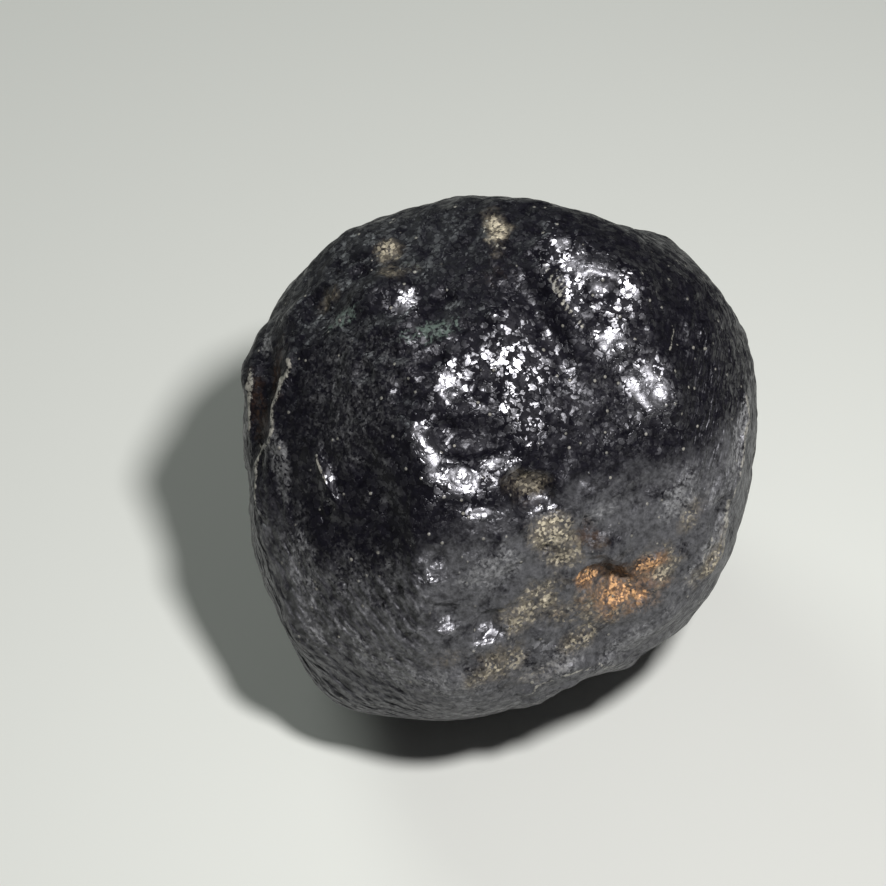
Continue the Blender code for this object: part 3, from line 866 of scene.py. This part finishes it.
def raise_lines(skin):
    """Ridges, creases and ledges of both sides, and the lines painted pale for wear and as painted light."""
    height = np.zeros(len(skin.points))
    worn = np.zeros(len(skin.points))
    for find, ridges, ledges in ((skin.shown, RIDGES, LEDGES), (skin.hidden, HIDDEN_RIDGES, HIDDEN_LEDGES)):
        for rise, half_width, places in ridges:
            line = smooth_curve([find(*place) for place in places])
            distance, _, fade = skin.beside(line, half_width * MM)
            spot = soft_spot(distance / (half_width * MM)) * fade
            height += rise * MM * spot
            if WORN_RISES[0] < rise < WORN_RISES[1]:
                worn = np.maximum(worn, spot**2)
        for rise, reach, front, places in ledges:
            line = smooth_curve([find(*place) for place in places])
            distance, side, fade = skin.beside(line, reach * MM)
            width = np.where(side > 0, reach * MM, front * MM)
            height += rise * MM * soft_spot(distance / width) * fade
    for places in RUBBED:
        line = smooth_curve([skin.shown(*place) for place in places])
        distance, _, fade = skin.beside(line, RUBBED_WIDTH)
        worn = np.maximum(worn, soft_spot(distance / RUBBED_WIDTH) * fade)
    skin.raise_by(height)
    skin.keep("worn", worn)


def lay_shingles(skin):
    """Stores the way the flakes lean together, which is what lets a whole patch of them glint at once."""
    total = np.zeros((len(skin.points), 3))
    weight = np.zeros(len(skin.points))
    for across, up, *oval, lean_clock, slope in SHINGLES:
        share = 1 - step_up(skin.oval(skin.shown(across, up), *oval), *SHINGLE_EDGE)
        total += share[:, None] * slope * np.array(shown_way(lean_clock))
        weight += share
    skin.keep("shingles", total / np.maximum(weight, 1.0)[:, None])


def keep_masks(skin):
    """Stores where the skin is pebbled, leathery, smooth, grey low down with dust and a painted floor
    reflection, or stained.
    """
    from_eye = skin.points - np.array(EYE)
    depth = -(from_eye @ np.array(OUT))
    right = from_eye @ np.array(RIGHT) / depth * VIEW_DISTANCE / MM
    above = from_eye @ np.array(UP) / depth * VIEW_DISTANCE / MM
    shows = step_up(-(unit(from_eye) * skin.normals).sum(axis=1), *SHOWN_EDGE)
    line = np.interp(right, *np.transpose(DUST_LINE))
    edge = np.interp(right, DUST_EDGE_PLACES, DUST_EDGE)
    low_shown = 1 - step_up(above, line - edge, line + edge)
    low_hidden = 1 - step_up(skin.points[:, 2], *HIDDEN_DUST)
    dusty = low_hidden + (low_shown - low_hidden) * shows
    masks = {name: np.zeros(len(skin.points)) for name in PATCHES}
    for find, patches in ((skin.shown, PATCHES), (skin.hidden, HIDDEN_PATCHES)):
        for name, ovals in patches.items():
            for across, up, *oval, strength in ovals:
                share = 1 - step_up(skin.oval(find(across, up), *oval), *PATCH_EDGE)
                masks[name] = np.maximum(masks[name], strength * share)
    left = 1 - step_up(right, *LEATHER_EDGE)
    clean = 1 - CLEAN_SHARE * step_up(masks["glossy"], *SHEET)
    masks["dusty"] = np.maximum(dusty * clean, THIN_DUST)
    masks["leathery"] = dusty * (left * shows + HIDDEN_LEATHER * (1 - shows))
    masks["streaky"] = step_up(right, *STREAK_EDGE) * shows
    for name, (by_dust, by_smooth, by_gloss) in DAMPING.items():
        kept = (1 - by_dust * dusty) * (1 - by_smooth * masks["smooth"])
        masks[name] = kept * (1 - by_gloss * masks["glossy"])
    for name, values in masks.items():
        skin.keep(name, np.clip(values, 0.0, MASK_LIMIT))


# How each stain lies on the black: its attribute, its colour's setting, its roughness, the pitch of its
# broken edge, how far that edge is broken, how granular it is, where it starts and where it is full,
# and how far it then covers what is under it
STAINS = (
    # Dust, and partly a painted reflection of the floor, on the skin low down
    ("dusty", "dust", 0.42, 2.2 * MM, 3.0, 0.4, 0.15, 1.05, 0.97),
    # Pale dust, and painted light on the rims
    ("pale", "pale", 0.50, 0.8 * MM, 2.8, 1.0, 0.25, 1.20, 0.8),
    ("brown", "brown", 0.50, 0.8 * MM, 2.6, 0.5, 0.25, 0.90, 0.9),
    ("green", "green", 0.45, 0.5 * MM, 4.0, 1.2, 0.40, 1.00, 0.8),
    # Pale wear, and painted light on lit crests and rims
    ("worn", "worn", 0.45, 0.5 * MM, 2.0, 0.6, 0.50, 0.90, 0.8),
    ("clay", "silt", 0.60, 1.4 * MM, 2.6, 0.8, 0.08, 0.90, 0.80),
    ("clay", "clay", 0.75, 0.8 * MM, 3.0, 2.4, 0.55, 1.90, 0.95),
    ("rust", "umber", 0.80, 1.1 * MM, 3.0, 0.8, 0.10, 0.70, 0.85),
    ("rust", "rust", 0.85, 0.8 * MM, 3.4, 2.0, 0.55, 1.55, 1.0),
    # Pale specks of grit, painted also as glints on the beads
    ("specks", "worn", 0.50, 0.7 * MM, 2.4, 0.0, 0.20, 0.80, 0.75),
)
# The attributes that the material reads, besides the shingles
MASKS = ("glossy", "pebbly", "leathery", "streaky", "dusty", "pale", "brown", "green", "worn", "clay", "rust")
EDGE_DETAIL = {"Detail": 3.0, "Roughness": 0.65}  # of the noise in stains and mottling
SULPHIDE_IOR = 2.2
GLOSS_TINT = (0.93, 0.92, 1.0, 1.0)  # the faint violet that old sulphide gives its glints

FLAKE_PITCH = 0.72 * MM
GRAIN_PITCH = 1.2 * MM
FLAKE_RADII = (0.34, 0.68)  # of the smallest and the largest flake, as shares of the pitch
FLAKE_EDGE = 4.0  # how steeply a flake's edge falls
FLAKE_BENDS = 1.4  # bends of its outline in one pitch
FLAKE_BEND = 1.5  # how far they push it, as a share of the pitch
FLAKE_SCATTER = 0.95
FLAKE_TILT = (0.34, -0.18)  # how far flakes lean, each its own way: on the dull skin, and what gloss adds
SHEET_FLATNESS = 0.7
BEAD_PITCH = 1.5 * MM
BEAD_RADIUS = 0.20 * MM
WRINKLE_SIZE = (1.9 * MM, 1.0 * MM, 1.0 * MM)
WRINKLE_CLOCK = -50
STREAK_SIZE = (1.9 * MM, 0.40 * MM, 0.40 * MM)
STREAK_CLOCK = 76
GRIT_PITCH = 0.24 * MM
FINE_PITCH = 0.45 * MM
SWELL_PITCH = 1.9 * MM
MOTTLE_PITCH = 0.5 * MM
MOTTLE_EDGE = (0.3, 0.7)
MOTTLE = (0.5, 1.5)  # the factors that the mottling takes the colour through

# Heights of the grain's layers in hundredths of a millimetre
HEIGHT_UNIT = 0.01 * MM
FLAKE_HEIGHT = 2.0
GRAIN_HEIGHT = 3.5
BEAD_HEIGHT = 8.0
WRINKLE_HEIGHT = 175.0
STREAK_HEIGHT = 40.0
SWELL_HEIGHT = 50.0
FINE_HEIGHT = 2.5
DUST_HEIGHT = 14.0

GLOSS_BREAK = 1.6  # how far the swells break the gloss up
GLOSS_START = (1.0, 1.6)  # where gloss and swells together begin to shine, and where they do so in full
GLOSS_ROUGHNESS = (0.46, 0.27)  # of glossy flakes, by their lot
DULL_ROUGHNESS = (0.62, 0.32)  # of the dull ones, in the same way
SHINE = (0.045, 0.15)  # the specular level between dull flakes and on them
POLISH = 0.75  # what full gloss adds to that level
TROUGH_SHADE_EDGE = (0.48, 0.34)  # the wrinkles' values between which the painted shade in their troughs grows dark
# how dark the painted shade in the wrinkles' troughs gets
TROUGH_SHADE_DARKNESS = 0.8


def stretched_noise(tree, place, clock, size):
    """Noise drawn out along a clock angle of the show side."""
    along = shown_way(clock)
    turned = Matrix((along, OUT.cross(along), OUT)).transposed().to_euler()
    mapped = add_node(
        tree, "ShaderNodeMapping", {"Vector": place, "Rotation": turned, "Scale": size}, vector_type="TEXTURE"
    ).outputs[0]
    return add_node(tree, "ShaderNodeTexNoise", {"Vector": mapped, "Scale": 1.0, "Detail": 1.0}).outputs[0]


def flakes(tree, place, pitch):
    """Round flakes of mixed sizes that crowd each other: how solid, how tall, each one's lean and its lot."""
    bend = add_node(
        tree, "ShaderNodeTexNoise", {"Vector": place, "Scale": FLAKE_BENDS / pitch, "Detail": 1.0}
    ).outputs["Color"]
    bent = add_node(
        tree,
        "ShaderNodeVectorMath",
        {0: bend, 1: (FLAKE_BEND * pitch,) * 3, 2: place},
        operation="MULTIPLY_ADD",
    ).outputs[0]
    cells = add_node(
        tree, "ShaderNodeTexVoronoi", {"Vector": bent, "Scale": 1 / pitch, "Randomness": FLAKE_SCATTER}
    ).outputs
    lot = add_node(tree, "ShaderNodeSeparateColor", {"Color": cells["Color"]}).outputs[0]
    radius = add_node(
        tree, "ShaderNodeMapRange", {"Value": lot, "To Min": FLAKE_RADII[0], "To Max": FLAKE_RADII[1]}
    ).outputs["Result"]
    share = add_node(tree, "ShaderNodeMath", {0: cells["Distance"], 1: radius}, operation="DIVIDE").outputs[0]
    square = add_node(tree, "ShaderNodeMath", {0: share, 1: share}, operation="MULTIPLY").outputs[0]
    dome = add_node(
        tree, "ShaderNodeMath", {0: 1.0, 1: square}, operation="SUBTRACT", use_clamp=True
    ).outputs[0]
    solid = add_node(
        tree, "ShaderNodeMath", {0: dome, 1: FLAKE_EDGE}, operation="MULTIPLY", use_clamp=True
    ).outputs[0]
    lean = add_node(
        tree, "ShaderNodeVectorMath", {0: cells["Color"], 1: (0.5, 0.5, 0.5)}, operation="SUBTRACT"
    ).outputs[0]
    return solid, dome, lean, lot


def sparse_beads(tree, place, pitch, radius):
    """Small round beads, each alone in its cell, as heights from nothing to one."""
    cells = add_node(
        tree, "ShaderNodeTexVoronoi", {"Vector": place, "Scale": 1 / pitch}
    ).outputs["Distance"]
    share = add_node(tree, "ShaderNodeMath", {0: cells, 1: pitch / radius}, operation="MULTIPLY").outputs[0]
    square = add_node(tree, "ShaderNodeMath", {0: share, 1: share}, operation="MULTIPLY").outputs[0]
    return add_node(
        tree, "ShaderNodeMath", {0: 1.0, 1: square}, operation="SUBTRACT", use_clamp=True
    ).outputs[0]


def facing(tree, lean, glossy, pebbly):
    """The normal of the flakes, and how much they are one sheet.

    Each flake leans its own way, and shingled ones lean together too, so it glints as a whole or stays black.
    In the middle of the glossiest patches the flakes lie flat together and make one unbroken sheet of gloss.
    """
    together = add_node(
        tree,
        "ShaderNodeVectorTransform",
        {0: add_node(tree, "ShaderNodeAttribute", attribute_name="shingles").outputs["Vector"]},
        convert_from="OBJECT",
        convert_to="WORLD",
    ).outputs[0]
    sheet = add_node(
        tree, "ShaderNodeMapRange", {"Value": glossy, "From Min": SHEET[0], "From Max": SHEET[1]}
    ).outputs["Result"]
    ruffled = add_node(
        tree, "ShaderNodeMath", {0: sheet, 1: -SHEET_FLATNESS, 2: 1.0}, operation="MULTIPLY_ADD"
    ).outputs[0]
    tilt = add_node(
        tree, "ShaderNodeMapRange", {"Value": glossy, "To Min": FLAKE_TILT[0], "To Max": sum(FLAKE_TILT)}
    ).outputs["Result"]
    for share in (ruffled, pebbly):
        tilt = add_node(tree, "ShaderNodeMath", {0: tilt, 1: share}, operation="MULTIPLY").outputs[0]
    normal = add_node(tree, "ShaderNodeNewGeometry").outputs["Normal"]
    normal = add_node(tree, "ShaderNodeVectorMath", {0: normal, 1: together}).outputs[0]
    leaning = add_node(
        tree, "ShaderNodeVectorMath", {0: lean, 1: tilt, 2: normal}, operation="MULTIPLY_ADD"
    ).outputs[0]
    return add_node(tree, "ShaderNodeVectorMath", {0: leaning}, operation="NORMALIZE").outputs[0], sheet


def gloss(tree, swells, solid, lot, glossy, sheet):
    """Roughness and specular level: the gloss lies on flakes and sheets, and the gaps between are dull."""
    broken = add_node(
        tree, "ShaderNodeMath", {0: swells, 1: GLOSS_BREAK, 2: glossy}, operation="MULTIPLY_ADD"
    ).outputs[0]
    there = add_node(
        tree, "ShaderNodeMapRange", {"Value": broken, "From Min": GLOSS_START[0], "From Max": GLOSS_START[1]}
    ).outputs["Result"]
    joined = add_node(tree, "ShaderNodeMath", {0: solid, 1: sheet}, operation="MAXIMUM").outputs[0]
    polish = add_node(tree, "ShaderNodeMath", {0: there, 1: joined}, operation="MULTIPLY").outputs[0]
    bright, dull, level = (
        add_node(
            tree, "ShaderNodeMapRange", {"Value": value, "To Min": low, "To Max": high}
        ).outputs["Result"]
        for value, (low, high) in ((lot, GLOSS_ROUGHNESS), (lot, DULL_ROUGHNESS), (solid, SHINE))
    )
    rough = add_node(tree, "ShaderNodeMix", {0: polish, 2: dull, 3: bright}).outputs[0]
    level = add_node(
        tree, "ShaderNodeMath", {0: polish, 1: POLISH, 2: level}, operation="MULTIPLY_ADD"
    ).outputs[0]
    return rough, level


def stain(tree, place, grit, mask, settings, rough):
    """Lays the stains on the black one after another, and gives the colour and the roughness."""
    colour = settings.black
    for name, setting, roughness, pitch, spread, granular, start, full, share in STAINS:
        edge = add_node(
            tree, "ShaderNodeTexNoise", {"Vector": place, "Scale": 1 / pitch, **EDGE_DETAIL}
        ).outputs[0]
        ragged = add_node(
            tree, "ShaderNodeMath", {0: edge, 1: spread, 2: 1 - spread / 2}, operation="MULTIPLY_ADD"
        ).outputs[0]
        grainy = add_node(
            tree, "ShaderNodeMath", {0: grit, 1: granular, 2: ragged}, operation="MULTIPLY_ADD"
        ).outputs[0]
        amount = add_node(tree, "ShaderNodeMath", {0: grainy, 1: mask[name]}, operation="MULTIPLY").outputs[0]
        there = add_node(
            tree,
            "ShaderNodeMapRange",
            {"Value": amount, "From Min": start, "From Max": full, "To Max": share},
            interpolation_type="SMOOTHSTEP",
        ).outputs["Result"]
        colour = add_node(
            tree, "ShaderNodeMix", {0: there, 6: colour, 7: getattr(settings, setting)}, data_type="RGBA"
        ).outputs[2]
        rough = add_node(tree, "ShaderNodeMix", {0: there, 2: rough, 3: roughness}).outputs[0]
    return colour, rough


def tarnish_material(settings):
    """Silver sulphide tarnish, grown slowly: black and pitchy, with an oily gloss that breaks up on its
    pebbled grain, dull grey where dust has settled, and with rust and clay caught in its pits. The grey low
    down is partly a painted floor reflection, painted shade darkens the wrinkles' troughs, and painted light
    lies on lit crests, rims and beads."""
    material = bpy.data.materials.new("pitchy_silver_sulphide")
    material.use_nodes = True
    tree = material.node_tree
    shader = tree.nodes["Principled BSDF"]
    shader.inputs["Metallic"].default_value = 0.0
    shader.inputs["IOR"].default_value = SULPHIDE_IOR
    shader.inputs["Specular Tint"].default_value = GLOSS_TINT
    place = add_node(tree, "ShaderNodeTexCoord").outputs["Object"]
    mask = {name: add_node(tree, "ShaderNodeAttribute", attribute_name=name).outputs["Fac"] for name in MASKS}
    solid, _, lean, lot = flakes(tree, place, FLAKE_PITCH)
    grain = flakes(tree, place, GRAIN_PITCH)[1]
    speckle = add_node(
        tree, "ShaderNodeTexVoronoi", {"Vector": place, "Scale": 1 / GRIT_PITCH}
    ).outputs["Color"]
    grain_lot = add_node(tree, "ShaderNodeSeparateColor", {"Color": speckle}).outputs[1]
    grit = add_node(tree, "ShaderNodeMath", {0: grain_lot, 1: 0.5}, operation="SUBTRACT").outputs[0]
    fine, swells = (
        add_node(
            tree, "ShaderNodeTexNoise", {"Vector": place, "Scale": 1 / pitch, "Detail": detail}
        ).outputs[0]
        for pitch, detail in ((FINE_PITCH, 3.0), (SWELL_PITCH, 2.0))
    )
    wrinkles = stretched_noise(tree, place, WRINKLE_CLOCK, WRINKLE_SIZE)
    streaks = stretched_noise(tree, place, STREAK_CLOCK, STREAK_SIZE)
    # The beads are painted pale as well: specks of grit, and painted glints that show under any light
    mask["specks"] = sparse_beads(tree, place, BEAD_PITCH, BEAD_RADIUS)
    height = add_node(tree, "ShaderNodeMath", {0: fine, 1: FINE_HEIGHT}, operation="MULTIPLY").outputs[0]
    for layer, share, tall in (
        (solid, mask["pebbly"], FLAKE_HEIGHT),
        (grain, mask["pebbly"], GRAIN_HEIGHT),
        (wrinkles, mask["leathery"], WRINKLE_HEIGHT),
        (streaks, mask["streaky"], STREAK_HEIGHT),
        (swells, mask["dusty"], SWELL_HEIGHT),
        (fine, mask["dusty"], DUST_HEIGHT),
        (mask["specks"], 1.0, BEAD_HEIGHT),
    ):
        part = add_node(tree, "ShaderNodeMath", {0: layer, 1: share}, operation="MULTIPLY").outputs[0]
        height = add_node(
            tree, "ShaderNodeMath", {0: part, 1: tall, 2: height}, operation="MULTIPLY_ADD"
        ).outputs[0]
    facet, sheet = facing(tree, lean, mask["glossy"], mask["pebbly"])
    bump = add_node(
        tree,
        "ShaderNodeBump",
        {"Height": height, "Strength": 1.0, "Distance": HEIGHT_UNIT, "Normal": facet},
    ).outputs[0]
    rough, shine = gloss(tree, swells, solid, lot, mask["glossy"], sheet)
    colour, rough = stain(tree, place, grit, mask, settings, rough)
    # Painted shade: the troughs between the leathery wrinkles are darkened towards the black, for the shade
    # that falls in them
    painted_trough_shade = add_node(
        tree,
        "ShaderNodeMapRange",
        {
            "Value": wrinkles,
            "From Min": TROUGH_SHADE_EDGE[0],
            "From Max": TROUGH_SHADE_EDGE[1],
            "To Max": TROUGH_SHADE_DARKNESS,
        },
    ).outputs["Result"]
    painted_trough_shade = add_node(
        tree, "ShaderNodeMath", {0: painted_trough_shade, 1: mask["leathery"]}, operation="MULTIPLY"
    ).outputs[0]
    colour = add_node(
        tree, "ShaderNodeMix", {0: painted_trough_shade, 6: colour, 7: settings.black}, data_type="RGBA"
    ).outputs[2]
    mottle = add_node(
        tree, "ShaderNodeTexNoise", {"Vector": place, "Scale": 1 / MOTTLE_PITCH, **EDGE_DETAIL}
    ).outputs[0]
    shade = add_node(
        tree,
        "ShaderNodeMapRange",
        {
            "Value": mottle,
            "From Min": MOTTLE_EDGE[0],
            "From Max": MOTTLE_EDGE[1],
            "To Min": MOTTLE[0],
            "To Max": MOTTLE[1],
        },
    ).outputs["Result"]
    colour = add_node(
        tree, "ShaderNodeVectorMath", {0: colour, "Scale": shade}, operation="SCALE"
    ).outputs[0]
    for name, socket in (
        ("Base Color", colour),
        ("Roughness", rough),
        ("Specular IOR Level", shine),
        ("Normal", bump),
    ):
        tree.links.new(socket, shader.inputs[name])
    return material


FLOOR_ROUGHNESS = 0.9
FLOOR_SHINE = 0.2


def floor_material(settings):
    """A board rolled with matt white paint: even and free of gloss, so it gives soft, clean bounce light."""
    material = bpy.data.materials.new("matt_painted_board")
    material.use_nodes = True
    shader = material.node_tree.nodes["Principled BSDF"]
    shader.inputs["Base Color"].default_value = settings.floor
    shader.inputs["Roughness"].default_value = FLOOR_ROUGHNESS
    shader.inputs["Specular IOR Level"].default_value = FLOOR_SHINE
    return material


class SPECIMEN_OT_add_nodule(bpy.types.Operator):
    """Build the nodule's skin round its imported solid"""

    bl_idname = "specimen.add_nodule"
    bl_label = "Add Nodule"

    def execute(self, context):
        settings = context.scene.nodule_skin
        material = tarnish_material(context.scene.nodule_tarnish)
        piece = bpy.data.objects.new("tarnished_nodule", bpy.data.meshes.new("tarnished_nodule"))
        context.scene.collection.objects.link(piece)
        wrapping = {"Solid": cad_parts[NODE], "Middle": MIDDLE, "Material": material}
        evaluate(piece, wrap_tree(), settings, wrapping)
        skin = Skin(piece.data)
        raise_round_forms(skin)
        lean_faces(skin)
        raise_lines(skin)
        lay_shingles(skin)
        keep_masks(skin)
        evaluate(piece, relief_tree(), settings, {"Material": material})
        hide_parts(NODE)
        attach(piece, BODY)
        return {"FINISHED"}


class SPECIMEN_OT_add_studio(bpy.types.Operator):
    """Add the pale floor, the lights and the camera"""

    bl_idname = "specimen.add_studio"
    bl_label = "Add Studio"

    def execute(self, context):
        settings = context.scene.nodule_studio
        add_floor(context, settings)
        add_lights(context, settings)
        add_camera(context)
        return {"FINISHED"}


FLOOR_SIZE = 1.6
FLOOR_GAP = 0.01 * MM  # the nodule stands this far above the floor, so that no two faces share a plane
KEY_DIRECTION = Vector((0.255, -0.350, 0.900))
KEY_DISTANCE = 240 * MM
KEY_WIDTH = 32 * MM
KEY_COLOUR = (1.0, 0.995, 0.98)
FILL_DIRECTION = Vector((-0.51, 0.70, 0.50))
FILL_DISTANCE = 800 * MM
FILL_WIDTH = 350 * MM
FILL_COLOUR = (0.93, 1.0, 0.94)
SURROUND_COLOUR = (1.0, 1.0, 1.0, 1.0)
CLIP_START = 0.01
CLIP_END = 10.0


def add_floor(context, settings):
    """A plain pale floor under the nodule."""
    bpy.ops.mesh.primitive_plane_add(size=FLOOR_SIZE, location=(0.0, 0.0, -FLOOR_GAP))
    floor = context.object
    floor.name = "pale_floor"
    floor.data.materials.append(floor_material(settings))


def add_lamp(context, name, direction, distance, width, power, colour, shape):
    """A flat lamp that looks at the nodule's middle."""
    data = bpy.data.lights.new(name, "AREA")
    data.shape = shape
    data.size = width
    data.energy = power
    data.color = colour
    lamp = bpy.data.objects.new(name, data)
    lamp.location = MIDDLE + direction.normalized() * distance
    lamp.rotation_euler = direction.to_track_quat("Z", "Y").to_euler()
    context.scene.collection.objects.link(lamp)


def add_lights(context, settings):
    """A small round lamp above to the right, a square panel behind to the left, and a dim surround."""
    key, fill = settings.key_power, settings.fill_power
    add_lamp(context, "key", KEY_DIRECTION, KEY_DISTANCE, KEY_WIDTH, key, KEY_COLOUR, "DISK")
    add_lamp(context, "fill", FILL_DIRECTION, FILL_DISTANCE, FILL_WIDTH, fill, FILL_COLOUR, "SQUARE")
    world = bpy.data.worlds.new("dim_surround")
    world.use_nodes = True
    background = world.node_tree.nodes["Background"]
    background.inputs["Strength"].default_value = settings.surround
    background.inputs["Color"].default_value = SURROUND_COLOUR
    context.scene.world = world
    # Plain sRGB, as a camera's own picture has it: blacks stay deep and glints go to white
    context.scene.view_settings.view_transform = "Standard"


def add_camera(context):
    """The photograph's view: 50 degrees above the horizon, with the nodule a little right of the middle."""
    data = bpy.data.cameras.new("camera")
    data.sensor_width = SENSOR_WIDTH
    data.lens = SENSOR_WIDTH * PIXELS_PER_MM * (VIEW_DISTANCE / MM) / IMAGE_PIXELS
    data.clip_start = CLIP_START
    data.clip_end = CLIP_END
    camera = bpy.data.objects.new("camera", data)
    aside = (IMAGE_PIXELS / 2 - MIDDLE_PIXEL[0]) / PIXELS_PER_MM * MM
    above = (MIDDLE_PIXEL[1] - IMAGE_PIXELS / 2) / PIXELS_PER_MM * MM
    camera.location = EYE
    camera.rotation_euler = (EYE - MIDDLE - RIGHT * aside - UP * above).to_track_quat("Z", "Y").to_euler()
    context.scene.collection.objects.link(camera)
    context.scene.camera = camera


class VIEW3D_PT_silver_nodule(bpy.types.Panel):
    """Lists the specimen's settings and what builds it"""

    bl_label = "Tarnished Silver Nodule"
    bl_space_type = "VIEW_3D"
    bl_region_type = "UI"
    bl_category = "Specimen"

    def draw(self, context):
        for group, operator in GROUPS:
            box = self.layout.box()
            settings = getattr(context.scene, group)
            for item in own_properties(settings):
                box.prop(settings, item.identifier)
            if operator:
                box.operator(operator)


GROUPS = (
    ("nodule_skin", None),
    ("nodule_tarnish", SPECIMEN_OT_add_nodule.bl_idname),
    ("nodule_studio", SPECIMEN_OT_add_studio.bl_idname),
)
CLASSES = (
    SkinSettings,
    TarnishSettings,
    StudioSettings,
    SPECIMEN_OT_add_nodule,
    SPECIMEN_OT_add_studio,
    VIEW3D_PT_silver_nodule,
)


def register():
    for item in CLASSES:
        bpy.utils.register_class(item)
    bpy.types.Scene.nodule_skin = PointerProperty(type=SkinSettings)
    bpy.types.Scene.nodule_tarnish = PointerProperty(type=TarnishSettings)
    bpy.types.Scene.nodule_studio = PointerProperty(type=StudioSettings)


def unregister():
    del bpy.types.Scene.nodule_studio
    del bpy.types.Scene.nodule_tarnish
    del bpy.types.Scene.nodule_skin
    for item in reversed(CLASSES):
        bpy.utils.unregister_class(item)


def main():
    register()
    bpy.ops.specimen.add_studio()
    bpy.ops.specimen.add_nodule()


if __name__ == "__main__":
    main()
